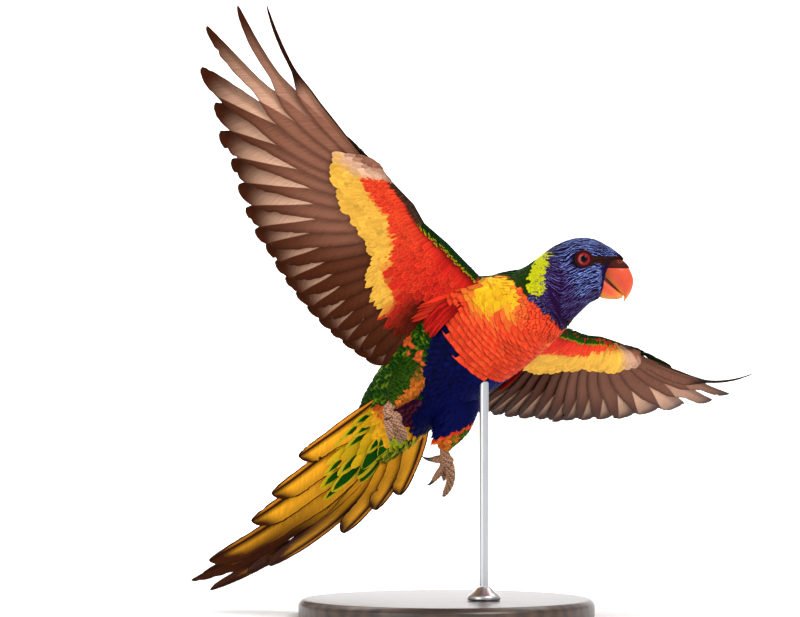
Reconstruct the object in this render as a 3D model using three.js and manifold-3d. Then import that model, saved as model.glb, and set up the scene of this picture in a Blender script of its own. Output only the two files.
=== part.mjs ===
// A rainbow lorikeet in banking flight, life size, on a plain display stand.
// Lengths are in millimetres and angles in degrees. The floor is z = 0 and the origin is the middle
// of the stand's underside. The bird is modelled in its own frame, x to its right, y forward and
// z towards its back, and is then turned into its flight pose.
import * as THREE from "three";
import { mergeVertices } from "three/addons/utils/BufferGeometryUtils.js";
import Module from "manifold-3d";

const wasm = await Module();
wasm.setup();

// Clearance between touching pieces
const GAP = 0.3;

// Pose of the body: heading about the vertical, climb of the breast, bank of the right wing
const HEADING = -28.3;
const CLIMB = 36.4;
const BANK = 43;
const TORSO_AT = [10, 0, 147];

// The head looks level along +x, from this place in the bird's frame
const HEAD_AT = [-8.7, 73.6, 2.6];

// Trunk stations from tail coverts to brow: middle, half width, height above it and below it
const TORSO_STATIONS = [
  [-12, -92, -6.5, 8, 2.5, 3],
  [-8, -72, -3, 16.5, 8.5, 10.5],
  [-4, -56, -1, 19, 13, 15],
  [-1, -40, -1, 23, 17, 19.5],
  [0, -20, -1, 27, 21, 23.5],
  [0, 0, -1, 29, 23, 26],
  [-1, 20, -1, 29, 23, 26.5],
  [-5, 42, -1, 24, 19.5, 24],
  [-8.5, 54, 0.5, 19.5, 17.5, 20.5],
];
const HEAD_STATIONS = [
  [-3.2, -8, -6, 17, 20, 26.5],
  [-1, 0, -1.7, 15.2, 18.5, 24],
  [0, 8, -0.3, 14, 17.3, 17.8],
  [0, 13.5, 0.2, 12, 15.1, 14.9],
  [0, 15.6, 2.8, 9.6, 11.3, 8],
  [0, 17.6, 5.5, 7.6, 7.5, 5.5],
  [0, 19.6, 7, 6, 4.9, 4],
  [0, 23, 7.3, 4.2, 2, 2],
  [0, 26.4, 5.7, 2, 0.7, 0.8],
];
const TRUNK_SIDES = 24;
const RINGS_PER_STATION = 2;
const TAIL_SPLIT = 2;
const NECK_SPLIT = 7.3;
const HEAD_SPLIT = 9;

// Eyes and their lids, in the head's frame
const EYE_RADIUS = 5;
const EYE_AT = [10.4, 4.5, 5.6];
const LID_RADIUS = 4.7;
const LID_THICKNESS = 0.9;

// Bill in the head's frame: forward and up of the ridge, of the cutting edge, and the half width
const UPPER_BILL = [
  [22, 7.5, 11, -2, 5],
  [27.6, 3.4, 16, -4.4, 6],
  [30.2, -0.9, 19.5, -7.4, 5.8],
  [31.6, -5, 22.8, -10.3, 5],
  [31.2, -9.4, 25.2, -12.5, 3.7],
  [29.4, -13.4, 26.6, -14.7, 2],
  [26.6, -17.4, 26.2, -17.1, 0.5],
];
const LOWER_BILL = [
  [10, -2, 9, -11, 4.5],
  [15.2, -5, 13.4, -14.6, 5.4],
  [18.2, -7.7, 17, -15.7, 5.1],
  [21.4, -10.6, 20.8, -16, 4.3],
  [24, -12.9, 23.6, -15.8, 3],
  [25.8, -14.6, 25.7, -15, 0.8],
];
const BILL_SIDES = 14;
const CERE_EDGE = 0.8;
const NOSTRIL_AT = [2.7, 24.2, 4.4];
const NOSTRIL_RADIUS = 0.8;

// Wing planform in its own frame: x out along the span, y forward, z towards the back
const SHOULDER = [15, 21.7, 2.3];
const WRIST = [59, 3];
const ELBOW = [26, -12];
const HAND_END = [91.5, 2];
const LEADING_EDGE = [
  [-12, 14],
  [20, 11],
  [36, 9.5],
  [52, 6.5],
  [64, 8.5],
  [80, 7],
  [96, 4.5],
];
const ARM_THICKNESS = [9, 2.2];
const CORE_SHARE = 0.4;
const CORE_EDGE = 2.4;
const CORE_EVERY = 3;
const BOW_SPAN = 200;

// Flight feathers: lengths, widths and how narrow each primary is past its notch, from the inside out
const PRIMARY_LENGTHS = [85, 87, 89, 92, 99, 104, 116, 123, 115, 103];
const PRIMARY_WIDTHS = [16, 16, 16, 16, 16, 16, 15.5, 14, 12, 8.5];
const PRIMARY_NARROWS = [1, 1, 1, 1, 1, 0.95, 0.8, 0.55, 0.45, 0.28];
const SECONDARY_COUNT = 10;
const SECONDARY_LENGTHS = [81, 57];
const SECONDARY_WIDTH = 18;
const TERTIALS = [
  { root: [22, -12], angle: -22.6, length: 52 },
  { root: [17, -11], angle: -26, length: 48 },
  { root: [12, -9], angle: -30.7, length: 43 },
];
const ALULA = { root: [60, 5], angle: 87, length: 33, width: 7 };

// A vane: its thickness, the rib along its shaft, the share of its width that leads, and its outline
const VANE_THICKNESS = 0.55;
const SHAFT_RIB = 0.15;
const LEADING_WEB = 0.26;
const VANE_TILT = 11;
const VANE_SHARES = [0.2, 0.48, 0.7, 0.88, 1];
const COVERT_SHARES = [0, 0.65, 1];
const NOTCH = [0.5, 0.68];
const ROUND_FROM = 0.7;
const SWEEP_FROM = 0.4;

// Coverts above and below the wing: how far along the flight feathers they start and end,
// and how far they stand off the vanes: a share of the arm's half thickness, then in millimetres
const COVERT_TIERS = [
  { start: 0.12, end: 0.52, stand: [0.3, 3.2], width: 19 },
  { start: 0.02, end: 0.34, stand: [0.7, 4.3], width: 19 },
];
const COVERT_EVERY = 4;
const HAND_COVERT = 0.6;

// Each wing's raise above the level, swing forward and twist of its leading edge towards the back,
// how far its arm bows up, the spread of its feathers, and how far the primaries' tips bend up and
// sweep forward
const WING_POSES = {
  right: {
    side: 1,
    raise: 16.7,
    swing: 6.1,
    twist: 5.8,
    bow: 0,
    primaryAngles: [30.6, 36.7, 43.3, 50.8, 58.5, 65, 69.8, 75.6, 80.5, 84.1],
    secondaryAngles: [25.1, -19.7],
    tipBends: [2.4, 3.2, 4.5, 5.4, 6.2, 8, 11.1, 14.4, 17.2, 15.4],
    tipSweeps: [0, 0, 0, -1, -3, -3, 1, 6, 13, 16],
  },
  left: {
    side: -1,
    raise: 22.4,
    swing: 7.2,
    twist: -11.4,
    bow: 10,
    primaryAngles: [34.7, 39.1, 44.5, 50, 56, 64, 71.3, 79.9, 86.9, 88.3],
    secondaryAngles: [29.3, -19],
    tipBends: [4.2, 6.5, 7.6, 9, 11.8, 14.6, 19.6, 20.4, 17.2, 16.1],
    tipSweeps: [0, 0, 0, 0, 0, -2.5, -7.5, -12.5, -13.5, 9.6],
  },
};

// Tail: where the fan starts in the body, how it turns, and its feathers from the middle outwards
const TAIL_AT = [-4, -47, 4];
const TAIL_TURN = { yaw: -19.6, pitch: 11.8, roll: 15.7 };
const TAIL_LIFT = 12.3;
const TAIL_SWAY = 31.7;
const TAIL_ROOT_STEP = 3.2;
const TAIL_FEATHERS = {
  right: {
    angles: [-6.1, -5.9, -2.1, 5.7, 12.9, 25.8],
    lengths: [152.4, 144.8, 132.2, 97.8, 77.8, 53.2],
    spread: 3.1,
    curve: 4,
  },
  left: {
    angles: [11.6, 9.5, 10, 15.2, 17, 21.8],
    lengths: [161.2, 138.8, 129.6, 96.6, 76, 63.6],
    spread: 1.6,
    curve: 0,
  },
};
const TAIL_WIDTHS = [15, 15, 15, 15, 14, 13];
const TAIL_STEP = 1;
const TAIL_WEB = 0.22;
const TAIL_NARROW = 0.85;
const TAIL_COVERTS = [
  { reaches: [68, 58, 46], stand: -7.5, width: 16 },
  { reaches: [52, 42], stand: 3.5, width: 16 },
];

// Legs in the bird's frame: the thigh's line with its radii, then the foot's
const LEGS = {
  right: {
    thigh: [
      [14, -24, -12, 10],
      [15, -34, -19, 8.5],
      [15, -41, -24, 4.2],
    ],
    tarsus: [
      [15, -41.8, -24.6, 2.6],
      [16, -45, -28, 2.7],
      [13, -47, -30, 3],
    ],
    toes: [
      [
        [13, -46.5, -30, 2.4],
        [7, -47.5, -30, 2.3],
        [0, -50, -28.5, 2.1],
        [-5, -53, -26, 1.7],
      ],
      [
        [13, -48.5, -30, 2.4],
        [6, -51, -29.5, 2.2],
        [-1, -54, -27.5, 2],
        [-5.5, -57, -25, 1.6],
      ],
      [
        [13, -46, -29, 2.3],
        [9, -45.5, -27, 2.1],
        [5, -47, -25, 1.6],
      ],
      [
        [13, -48.5, -30.5, 2.3],
        [8.5, -52, -32, 2.1],
        [4, -55.5, -31.5, 1.7],
      ],
    ],
  },
  left: {
    thigh: [
      [-19, -24, -12, 11],
      [-24, -34, -18, 9],
      [-27, -43.5, -22.5, 4.4],
    ],
    tarsus: [
      [-27.3, -44.4, -22.9, 2.6],
      [-31, -48, -23.4, 2.7],
      [-36.5, -50.5, -23.6, 3.4],
    ],
    toes: [
      [
        [-36.5, -50.5, -23.6, 2.8],
        [-43, -55, -24, 2.6],
        [-48, -61, -23.5, 2.3],
        [-51.5, -67.5, -22, 1.7],
      ],
      [
        [-35.5, -52, -23, 2.4],
        [-38.5, -57, -21.5, 2.2],
        [-39.5, -61, -21.5, 2],
        [-40, -65, -22.5, 1.5],
      ],
      [
        [-36, -51, -22.5, 2.6],
        [-40.5, -56.5, -19.5, 2.3],
        [-45.5, -62, -18, 1.7],
      ],
      [
        [-34.5, -50.5, -23, 2.6],
        [-32, -53, -22.5, 2.4],
        [-29.5, -55.5, -22.5, 1.8],
      ],
    ],
  },
};
const CLAW_LENGTH = 6.5;
const CLAW_CURL = 62;
const TOE_SIDES = 8;

// Stand
const BASE_RADIUS = 80;
const BASE_THICKNESS = 10;
const BASE_CHAMFER = 2.5;
const ROD_RADIUS = 2.5;
const ROD_AT = [20, -14];
const COLLAR_RADIUS = 9;
const COLLAR_HEIGHT = 7;

const rad = THREE.MathUtils.degToRad;
const lerp = THREE.MathUtils.lerp;
const vec = (x, y, z) => new THREE.Vector3(x, y, z);
const UP = vec(0, 0, 1);
const IDENTITY = new THREE.Matrix4();

// The turn of a body that flies with this heading, climb and bank
function flightTurn(heading, climb, bank) {
  const euler = new THREE.Euler(rad(climb), rad(-bank), rad(heading - 90), "ZXY");
  return new THREE.Quaternion().setFromEuler(euler);
}

const BIRD_TURN = flightTurn(HEADING, CLIMB, BANK);
const BIRD_TO_WORLD = new THREE.Matrix4().compose(vec(...TORSO_AT), BIRD_TURN, vec(1, 1, 1));
const HEAD_TO_BIRD = new THREE.Matrix4().compose(
  vec(...HEAD_AT),
  BIRD_TURN.clone().invert().multiply(flightTurn(0, 0, 0)),
  vec(1, 1, 1),
);

// A closed solid from points and triangles, turned the right way out
function solid(points, triangles, matrix = IDENTITY) {
  const vertProperties = new Float32Array(points.flatMap((p) => p.clone().applyMatrix4(matrix).toArray()));
  const build = (corners) =>
    new wasm.Manifold(new wasm.Mesh({ numProp: 3, vertProperties, triVerts: new Uint32Array(corners.flat()) }));
  const made = build(triangles);
  if (made.volume() > 0) return made;
  return build(triangles.map(([a, b, c]) => [a, c, b]));
}

// A solid from a closed three.js geometry
function solidOf(geometry, matrix = IDENTITY) {
  const bare = geometry.clone();
  bare.deleteAttribute("normal");
  bare.deleteAttribute("uv");
  const merged = mergeVertices(bare, 1e-4);
  const place = merged.getAttribute("position");
  const points = Array.from({ length: place.count }, (_, i) => vec().fromBufferAttribute(place, i));
  const corners = Array.from(merged.index.array);
  const triangles = [];
  for (let i = 0; i < corners.length; i += 3) {
    const [a, b, c] = corners.slice(i, i + 3);
    if (a !== b && b !== c && a !== c) triangles.push([a, b, c]);
  }
  return solid(points, triangles, matrix);
}

// A closed skin over rings of points, each end drawn together to its middle
function ringSkin(rings, matrix = IDENTITY) {
  const sides = rings[0].length;
  const points = rings.flat();
  const triangles = [];
  const last = (rings.length - 1) * sides;
  const starts = points.length;
  for (const end of [rings[0], rings.at(-1)]) {
    const middle = end.reduce((sum, p) => sum.add(p), vec(0, 0, 0));
    points.push(middle.divideScalar(sides));
  }
  for (let k = 0; k < sides; k += 1) {
    const next = (k + 1) % sides;
    for (let start = 0; start < last; start += sides) {
      triangles.push([start + k, start + next, start + next + sides]);
      triangles.push([start + k, start + next + sides, start + k + sides]);
    }
    triangles.push([starts, next, k], [starts + 1, last + k, last + next]);
  }
  return solid(points, triangles, matrix);
}

// A thin closed sheet between two like grids of points, split into triangles alike on both faces
function sheet(upper, under, matrix = IDENTITY) {
  const rows = upper.length;
  const columns = upper[0].length;
  const shift = rows * columns;
  const triangles = [];
  const rim = [];
  const index = (row, column) => row * columns + column;
  for (let row = 0; row + 1 < rows; row += 1) {
    for (let column = 0; column + 1 < columns; column += 1) {
      const a = index(row, column);
      const b = index(row, column + 1);
      const c = index(row + 1, column);
      const d = index(row + 1, column + 1);
      triangles.push([a, b, d], [a, d, c]);
      triangles.push([a + shift, d + shift, b + shift], [a + shift, c + shift, d + shift]);
    }
  }
  for (let column = 0; column + 1 < columns; column += 1) rim.push(index(0, column));
  for (let row = 0; row + 1 < rows; row += 1) rim.push(index(row, columns - 1));
  for (let column = columns - 1; column > 0; column -= 1) rim.push(index(rows - 1, column));
  for (let row = rows - 1; row > 0; row -= 1) rim.push(index(row, 0));
  rim.forEach((p, i) => {
    const q = rim[(i + 1) % rim.length];
    triangles.push([q, p, p + shift], [q, p + shift, q + shift]);
  });
  return solid([...upper.flat(), ...under.flat()], triangles, matrix);
}

// A tube of round section along points that each carry a radius as their fourth number
function tube(stations, sides, steps) {
  const path = new THREE.CatmullRomCurve3(stations.map(([x, y, z]) => vec(x, y, z)), false, "catmullrom");
  const radii = new THREE.CatmullRomCurve3(stations.map((s) => vec(s[3], 0, 0)), false, "catmullrom");
  const rings = [];
  const side = vec(0, 0, 1).cross(path.getTangent(0));
  if (side.length() < 0.1) side.set(1, 0, 0);
  for (let i = 0; i <= steps; i += 1) {
    const t = i / steps;
    const along = path.getTangent(t);
    side.addScaledVector(along, -side.dot(along)).normalize();
    rings.push(ellipseRing(path.getPoint(t), side, along.cross(side).normalize(), radii.getPoint(t).x, sides));
  }
  return ringSkin(rings);
}

function ellipseRing(middle, side, up, wide, sides, above = wide, below = wide) {
  return Array.from({ length: sides }, (_, k) => {
    const turn = (2 * Math.PI * k) / sides;
    const height = (Math.sin(turn) > 0 ? above : below) * Math.sin(turn);
    return middle.clone().addScaledVector(side, wide * Math.cos(turn)).addScaledVector(up, height);
  });
}

// Keeps the largest closed surface of a joined and cut body
function largest(body) {
  return body.decompose().reduce((best, piece) => (piece.volume() > best.volume() ? piece : best));
}

const join = (bodies) => bodies.reduce((sum, body) => sum.add(body));

function meshOf(name, body, material) {
  const made = largest(body).getMesh();
  const geometry = new THREE.BufferGeometry();
  geometry.setAttribute("position", new THREE.BufferAttribute(new Float32Array(made.vertProperties), 3));
  geometry.setIndex(new THREE.BufferAttribute(new Uint32Array(made.triVerts), 1));
  geometry.computeVertexNormals();
  const mesh = new THREE.Mesh(geometry, material);
  mesh.name = name;
  return mesh;
}

// Materials
const finish = (color, roughness, metalness = 0) => new THREE.MeshStandardMaterial({ color, roughness, metalness });
const materials = {
  headFeathers: finish(0x2b2f86, 0.7),
  neckFeathers: finish(0x9fbf1c, 0.7),
  breastFeathers: finish(0xe8502a, 0.7),
  wingFeathers: finish(0x2f8a2c, 0.7),
  tailFeathers: finish(0xc98a1e, 0.7),
  thighFeathers: finish(0xe08a2a, 0.7),
  cere: finish(0x5a3326, 0.6),
  bill: finish(0xf0602f, 0.35),
  eye: finish(0xc4472f, 0.1),
  foot: finish(0x7d675a, 0.75),
  claw: finish(0x2a2422, 0.4),
  wood: finish(0x3b2a20, 0.45),
  steel: finish(0xb9bcc0, 0.3, 1),
};

// Trunk: one body from the tail coverts to the brow, parted by thin cuts
const trunkStations = [
  ...TORSO_STATIONS.map(([x, y, z, wide, above, below]) => ({
    at: vec(x, y, z),
    ahead: vec(0, 1, 0),
    up: vec(0, 0, 1),
    size: vec(wide, above, below),
  })),
  ...HEAD_STATIONS.map(([x, y, z, wide, above, below]) => ({
    at: vec(x, y, z).applyMatrix4(HEAD_TO_BIRD),
    ahead: vec(0, 1, 0).transformDirection(HEAD_TO_BIRD),
    up: vec(0, 0, 1).transformDirection(HEAD_TO_BIRD),
    size: vec(wide, above, below),
  })),
];
const trunkCurve = (key) =>
  new THREE.CatmullRomCurve3(trunkStations.map((station) => station[key]), false, "catmullrom");
const trunkMiddles = trunkCurve("at");
const trunkAheads = trunkCurve("ahead");
const trunkUps = trunkCurve("up");
const trunkSizes = trunkCurve("size");

// Middle, forward, side and up of the trunk at a station number, whole or between two
function trunkFrame(station) {
  const t = station / (trunkStations.length - 1);
  const forward = trunkAheads.getPoint(t).normalize();
  const side = forward.clone().cross(trunkUps.getPoint(t)).normalize();
  return { middle: trunkMiddles.getPoint(t), forward, side, up: side.clone().cross(forward), size: trunkSizes.getPoint(t) };
}

function trunk(grow) {
  const count = (trunkStations.length - 1) * RINGS_PER_STATION;
  const stations = Array.from({ length: count + 1 }, (_, i) => i / RINGS_PER_STATION);
  const throat = TORSO_STATIONS.length - 0.5;
  stations.push(throat - 0.25, throat + 0.25);
  stations.sort((a, b) => a - b);
  const rings = stations.map((station) => {
    const { middle, side, up, size } = trunkFrame(station);
    return ellipseRing(middle, side, up, size.x + grow, TRUNK_SIDES, size.y + grow, size.z + grow);
  });
  return ringSkin(rings);
}

// The part of a body in front of a station of the trunk, or behind it, clear of the cut by half the gap
function trimAt(body, station, way) {
  const { middle, forward } = trunkFrame(station);
  const normal = forward.multiplyScalar(way);
  return body.trimByPlane(normal.toArray(), normal.dot(middle) + GAP / 2);
}

const wholeTrunk = trunk(0);
const clearTrunk = trunk(GAP);

function torso() {
  return trimAt(trimAt(wholeTrunk, TAIL_SPLIT, 1), NECK_SPLIT, -1);
}

function neck() {
  return trimAt(trimAt(wholeTrunk, NECK_SPLIT, 1), HEAD_SPLIT, -1);
}

// Head with a ring of lid round each eye and a socket behind it
function ball(radius, [x, y, z], matrix, width = 16, height = 8) {
  const turned = new THREE.Matrix4().makeTranslation(x, y, z).multiply(new THREE.Matrix4().makeRotationZ(Math.PI / 2));
  return solidOf(new THREE.SphereGeometry(radius, width, height), matrix.clone().multiply(turned));
}

function head() {
  let body = trimAt(trimAt(wholeTrunk, NECK_SPLIT, 1), HEAD_SPLIT, 1);
  for (const side of [1, -1]) {
    const [x, y, z] = EYE_AT;
    const lidReach = Math.sqrt(EYE_RADIUS ** 2 - (LID_RADIUS - LID_THICKNESS) ** 2);
    const place = new THREE.Matrix4().makeTranslation(side * (x + lidReach), y, z);
    const lid = new THREE.TorusGeometry(LID_RADIUS, LID_THICKNESS, 6, 18).rotateY(Math.PI / 2);
    body = body.add(solidOf(lid, HEAD_TO_BIRD.clone().multiply(place)));
    body = body.subtract(ball(EYE_RADIUS + GAP, [side * x, y, z], HEAD_TO_BIRD));
  }
  return body;
}

function eye(side) {
  const [x, y, z] = EYE_AT;
  return ball(EYE_RADIUS, [side * x, y, z], HEAD_TO_BIRD);
}

// Bill: rings that each span from the ridge to the cutting edge, grown by the clearance where asked
function billHalf(profile, grow) {
  const rings = profile.map(([forward, up, edgeForward, edgeUp, wide]) => {
    const ridge = vec(0, forward, up);
    const edge = vec(0, edgeForward, edgeUp);
    const middle = ridge.clone().add(edge).multiplyScalar(0.5);
    const height = ridge.distanceTo(edge) / 2 + grow;
    return ellipseRing(middle, vec(1, 0, 0), ridge.sub(edge).normalize(), wide + grow, BILL_SIDES, height, height);
  });
  return ringSkin(rings, HEAD_TO_BIRD);
}

function headPlane(body, height, way) {
  const normal = vec(0, 0, way).transformDirection(HEAD_TO_BIRD);
  const point = vec(0, 0, height).applyMatrix4(HEAD_TO_BIRD);
  return body.trimByPlane(normal.toArray(), normal.dot(point) + GAP / 2);
}

const upperBill = billHalf(UPPER_BILL, 0);

function cere() {
  let body = headPlane(upperBill, CERE_EDGE, 1).subtract(clearTrunk);
  for (const side of [1, -1]) {
    const [x, y, z] = NOSTRIL_AT;
    body = body.subtract(ball(NOSTRIL_RADIUS, [side * x, y, z], HEAD_TO_BIRD, 8, 6));
  }
  return body;
}

function hookedBill() {
  return headPlane(upperBill, CERE_EDGE, -1).subtract(clearTrunk);
}

function lowerBill() {
  return billHalf(LOWER_BILL, 0).subtract(clearTrunk).subtract(billHalf(UPPER_BILL, GAP));
}

// Wings
function wingToBird({ side, raise, swing, twist }) {
  const [r, s, w] = [rad(raise), rad(swing), rad(twist)];
  const out = vec(side * Math.cos(r), 0, Math.sin(r));
  const back = vec(-side * Math.sin(r), 0, Math.cos(r));
  const ahead = vec(0, 1, 0);
  const span = out.clone().multiplyScalar(Math.cos(s)).addScaledVector(ahead, Math.sin(s));
  const chord = ahead.multiplyScalar(Math.cos(s)).addScaledVector(out, -Math.sin(s));
  const forward = chord.clone().multiplyScalar(Math.cos(w)).addScaledVector(back, Math.sin(w));
  const normal = back.multiplyScalar(Math.cos(w)).addScaledVector(chord, -Math.sin(w));
  const [x, y, z] = SHOULDER;
  return new THREE.Matrix4().makeBasis(span, forward, normal).setPosition(side * x, y, z);
}

// The flight feathers from the innermost tertial to the outermost primary
function flightFeathers({ primaryAngles, secondaryAngles, tipBends, tipSweeps }) {
  const plain = { width: SECONDARY_WIDTH, narrow: 1, bend: 0, sweep: 0 };
  const feathers = TERTIALS.map((tertial) => ({ ...plain, ...tertial })).reverse();
  for (let i = SECONDARY_COUNT - 1; i >= 0; i -= 1) {
    const along = (i + 0.5) / SECONDARY_COUNT;
    const order = i / (SECONDARY_COUNT - 1);
    feathers.push({
      ...plain,
      root: [lerp(WRIST[0], ELBOW[0], along), lerp(WRIST[1], ELBOW[1], along)],
      angle: lerp(...secondaryAngles, order),
      length: lerp(...SECONDARY_LENGTHS, order),
      bend: tipBends[0] * (1 - order),
    });
  }
  PRIMARY_LENGTHS.forEach((length, i) => {
    const order = i / (PRIMARY_LENGTHS.length - 1);
    feathers.push({
      root: [lerp(WRIST[0], HAND_END[0], order), lerp(WRIST[1], HAND_END[1], order)],
      angle: primaryAngles[i],
      length,
      width: PRIMARY_WIDTHS[i],
      narrow: PRIMARY_NARROWS[i],
      bend: tipBends[i],
      sweep: tipSweeps[i],
    });
  });
  return feathers;
}

// A point of a feather's shaft in the wing's frame, at a share of its length
function wingShaft(pose, { root, angle, length, bend, sweep }, share) {
  const [out, back] = [Math.sin(rad(angle)), Math.cos(rad(angle))];
  const curl = sweep * Math.max(0, (share - SWEEP_FROM) / (1 - SWEEP_FROM)) ** 2;
  return vec(
    root[0] + out * length * share + back * curl,
    root[1] - back * length * share + out * curl,
    bowAt(pose, root[0]) * Math.max(0, 1 - share) ** 1.5 + bend * Math.max(0, share) ** 3,
  );
}

function leadingEdge(x) {
  const points = LEADING_EDGE;
  const i = Math.max(1, points.findIndex(([px]) => px >= x));
  const [[x0, y0], [x1, y1]] = [points[i - 1], points[i]];
  return lerp(y0, y1, (x - x0) / (x1 - x0));
}

// How far the arm and hand bow up at a distance along the span
const bowAt = (pose, x) => pose.bow * Math.sin((Math.PI * Math.max(x, 0)) / BOW_SPAN) ** 0.7;

// Half width of a vane's web at a share of its length: narrow past the notch, rounded to the tip
function webShape(share, narrow) {
  const past = THREE.MathUtils.smoothstep(share, ...NOTCH);
  const tip = Math.max(0, share - ROUND_FROM) / (1 - ROUND_FROM);
  const grown = lerp(0.6, 1, THREE.MathUtils.smoothstep(share, 0, 0.4));
  return grown * lerp(1, narrow, past) * Math.sqrt(1 - 0.99 * tip * tip);
}

// A feather's vane about its shaft, a thin blade ribbed along the middle, tilted so that its leading
// web lies nearer the back than its trailing web; side -1 puts the leading web on the other side
function vane(shaft, shares, { width, narrow, web = LEADING_WEB, tilt = VANE_TILT, side = 1, up = UP }) {
  const face = (way) =>
    shares.map((share) => {
      const at = shaft(share);
      const along = shaft(share + 0.01).sub(at).normalize();
      const across = up.clone().cross(along).normalize().multiplyScalar(side);
      const normal = up.clone().addScaledVector(along, -along.dot(up)).normalize();
      const wide = width * webShape(share, narrow);
      const rib = SHAFT_RIB * (1 - share);
      return [-(1 - web), 0, web].map((reach) => {
        const rise = reach * wide * Math.tan(rad(tilt)) + way * (VANE_THICKNESS / 2 + (reach === 0 ? rib : 0));
        return at.clone().addScaledVector(across, reach * wide).addScaledVector(normal, rise);
      });
    });
  return [face(1), face(-1)];
}

// The wing's fleshy arm and hand with the roots of the feathers: a plate from the leading edge back
function wingCore(pose, feathers) {
  const last = feathers.length - 1;
  const strips = [{ from: -12, to: vec(-4, -56, 0), thick: ARM_THICKNESS[0] }];
  for (let i = 0; i <= last; i += i + CORE_EVERY > last ? 1 : CORE_EVERY) {
    strips.push({
      from: feathers[i].root[0],
      to: wingShaft(pose, { ...feathers[i], sweep: 0 }, 1),
      thick: lerp(...ARM_THICKNESS, i / last),
    });
  }
  const chords = [0, 0.2, 0.6, 1];
  const face = (way) =>
    strips.map(({ from, to, thick }) =>
      chords.map((chord) => {
        const share = chord * CORE_SHARE;
        const swell = CORE_EDGE + (thick - CORE_EDGE) * Math.sin(Math.PI * Math.sqrt(chord) ** 1.2);
        const middle = bowAt(pose, from) * (1 - share) ** 1.5 + to.z * share ** 3;
        return vec(lerp(from, to.x, share), lerp(leadingEdge(from), to.y, share), middle + (way * swell) / 2);
      }),
    );
  return [face(1), face(-1)];
}

// Coverts of one face of the wing, one over every few flight feathers
function wingCoverts(pose, feathers, way) {
  const chosen = feathers.filter((_, i) => i % COVERT_EVERY === 1);
  return COVERT_TIERS.flatMap(({ start, end, stand, width }) =>
    chosen.map((feather, i) => {
      const order = i / (chosen.length - 1);
      const half = lerp(...ARM_THICKNESS, order) / 2;
      const shaft = (share) => {
        const point = wingShaft(pose, feather, lerp(start, end, share));
        point.z += way * lerp(stand[0] * half, stand[1] * lerp(1, HAND_COVERT, order), share);
        return point;
      };
      return vane(shaft, COVERT_SHARES, { width, narrow: 1 });
    }),
  );
}

function wing(pose) {
  const feathers = flightFeathers(pose);
  const alula = { ...ALULA, bend: 0, sweep: 0 };
  const sheets = [
    wingCore(pose, feathers),
    ...feathers.map((feather) => vane((share) => wingShaft(pose, feather, share), VANE_SHARES, feather)),
    vane((share) => wingShaft(pose, alula, share), COVERT_SHARES, { width: alula.width, narrow: 1 }),
    ...wingCoverts(pose, feathers, 1),
    ...wingCoverts(pose, feathers, -1),
  ];
  const matrix = wingToBird(pose);
  return join(sheets.map(([upper, under]) => sheet(upper, under, matrix))).subtract(clearTrunk);
}

// Tail: a point of the fan, at a distance from its root and an angle to its side
function tailPoint(side, angle, distance, lift, apart = 0) {
  const turn = new THREE.Matrix4().makeRotationFromEuler(
    new THREE.Euler(rad(TAIL_TURN.pitch), rad(TAIL_TURN.roll), rad(TAIL_TURN.yaw), "ZXY"),
  );
  const across = side * (TAIL_ROOT_STEP + apart + distance * Math.sin(rad(angle)));
  const back = distance * Math.cos(rad(angle));
  const radius = 100 / rad(TAIL_LIFT);
  const sway = TAIL_SWAY * (back / 100) ** 2;
  const local = vec(
    across + sway,
    -(radius - lift) * Math.sin(back / radius),
    radius - (radius - lift) * Math.cos(back / radius),
  );
  return local.applyMatrix4(turn).add(vec(...TAIL_AT));
}

// Tail feathers, the middle pair nearest the back, with coverts above and below at their roots
function tail() {
  const up = tailPoint(0, 0, 50, 1).sub(tailPoint(0, 0, 50, 0)).normalize();
  const bodies = [];
  for (const [name, side] of [["right", 1], ["left", -1]]) {
    const { angles, lengths, spread, curve } = TAIL_FEATHERS[name];
    const feather = (i, length, lift, shares, form) => {
      const angle = (share) => angles[i] + curve * (1 - share ** 2);
      const shaft = (share) => tailPoint(side, angle(share), length * share, lift, spread * i);
      return sheet(...vane(shaft, shares, { web: TAIL_WEB, side, up, ...form }));
    };
    lengths.forEach((length, i) => {
      const lift = i === 0 && side < 0 ? TAIL_STEP : -TAIL_STEP * i;
      const form = { width: TAIL_WIDTHS[i], narrow: TAIL_NARROW, tilt: i === 0 ? 0 : VANE_TILT };
      bodies.push(feather(i, length, lift, VANE_SHARES, form));
    });
    for (const { reaches, stand, width } of TAIL_COVERTS) {
      reaches.forEach((length, i) => {
        const lift = stand + (side * TAIL_STEP) / 2;
        bodies.push(feather(2 * i, length, lift, COVERT_SHARES, { width, narrow: 1 }));
      });
    }
  }
  return trimAt(join([wholeTrunk, ...bodies]), TAIL_SPLIT, -1);
}

// Legs
function thigh(side, grow = 0) {
  const stations = LEGS[side].thigh.map(([x, y, z, radius]) => [x, y, z, radius + grow]);
  return tube(stations, 16, 8);
}

function foot(side) {
  const { tarsus, toes } = LEGS[side];
  const body = join([tube(tarsus, TOE_SIDES, 4), ...toes.map((toe) => tube(toe, TOE_SIDES, 6))]);
  return body.subtract(clearTrunk).subtract(thigh(side, GAP));
}

// A claw goes on from the toe's end and curls towards the bird's back
function claw(toe) {
  const path = new THREE.CatmullRomCurve3(toe.map(([x, y, z]) => vec(x, y, z)), false, "catmullrom");
  const along = path.getTangent(1);
  const radius = toe.at(-1)[3];
  const start = path.getPoint(1).addScaledVector(along, GAP);
  const curl = vec(0, 0, 1).addScaledVector(along, -along.z).normalize();
  const bow = CLAW_LENGTH / rad(CLAW_CURL);
  const stations = [0, 0.35, 0.7, 1].map((t) => {
    const turn = rad(CLAW_CURL) * t;
    const p = start.clone().addScaledVector(along, bow * Math.sin(turn)).addScaledVector(curl, bow * (1 - Math.cos(turn)));
    return [...p.toArray(), lerp(radius * 0.8, 0.25, t)];
  });
  return tube(stations, 7, 4).subtract(clearTrunk);
}

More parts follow.
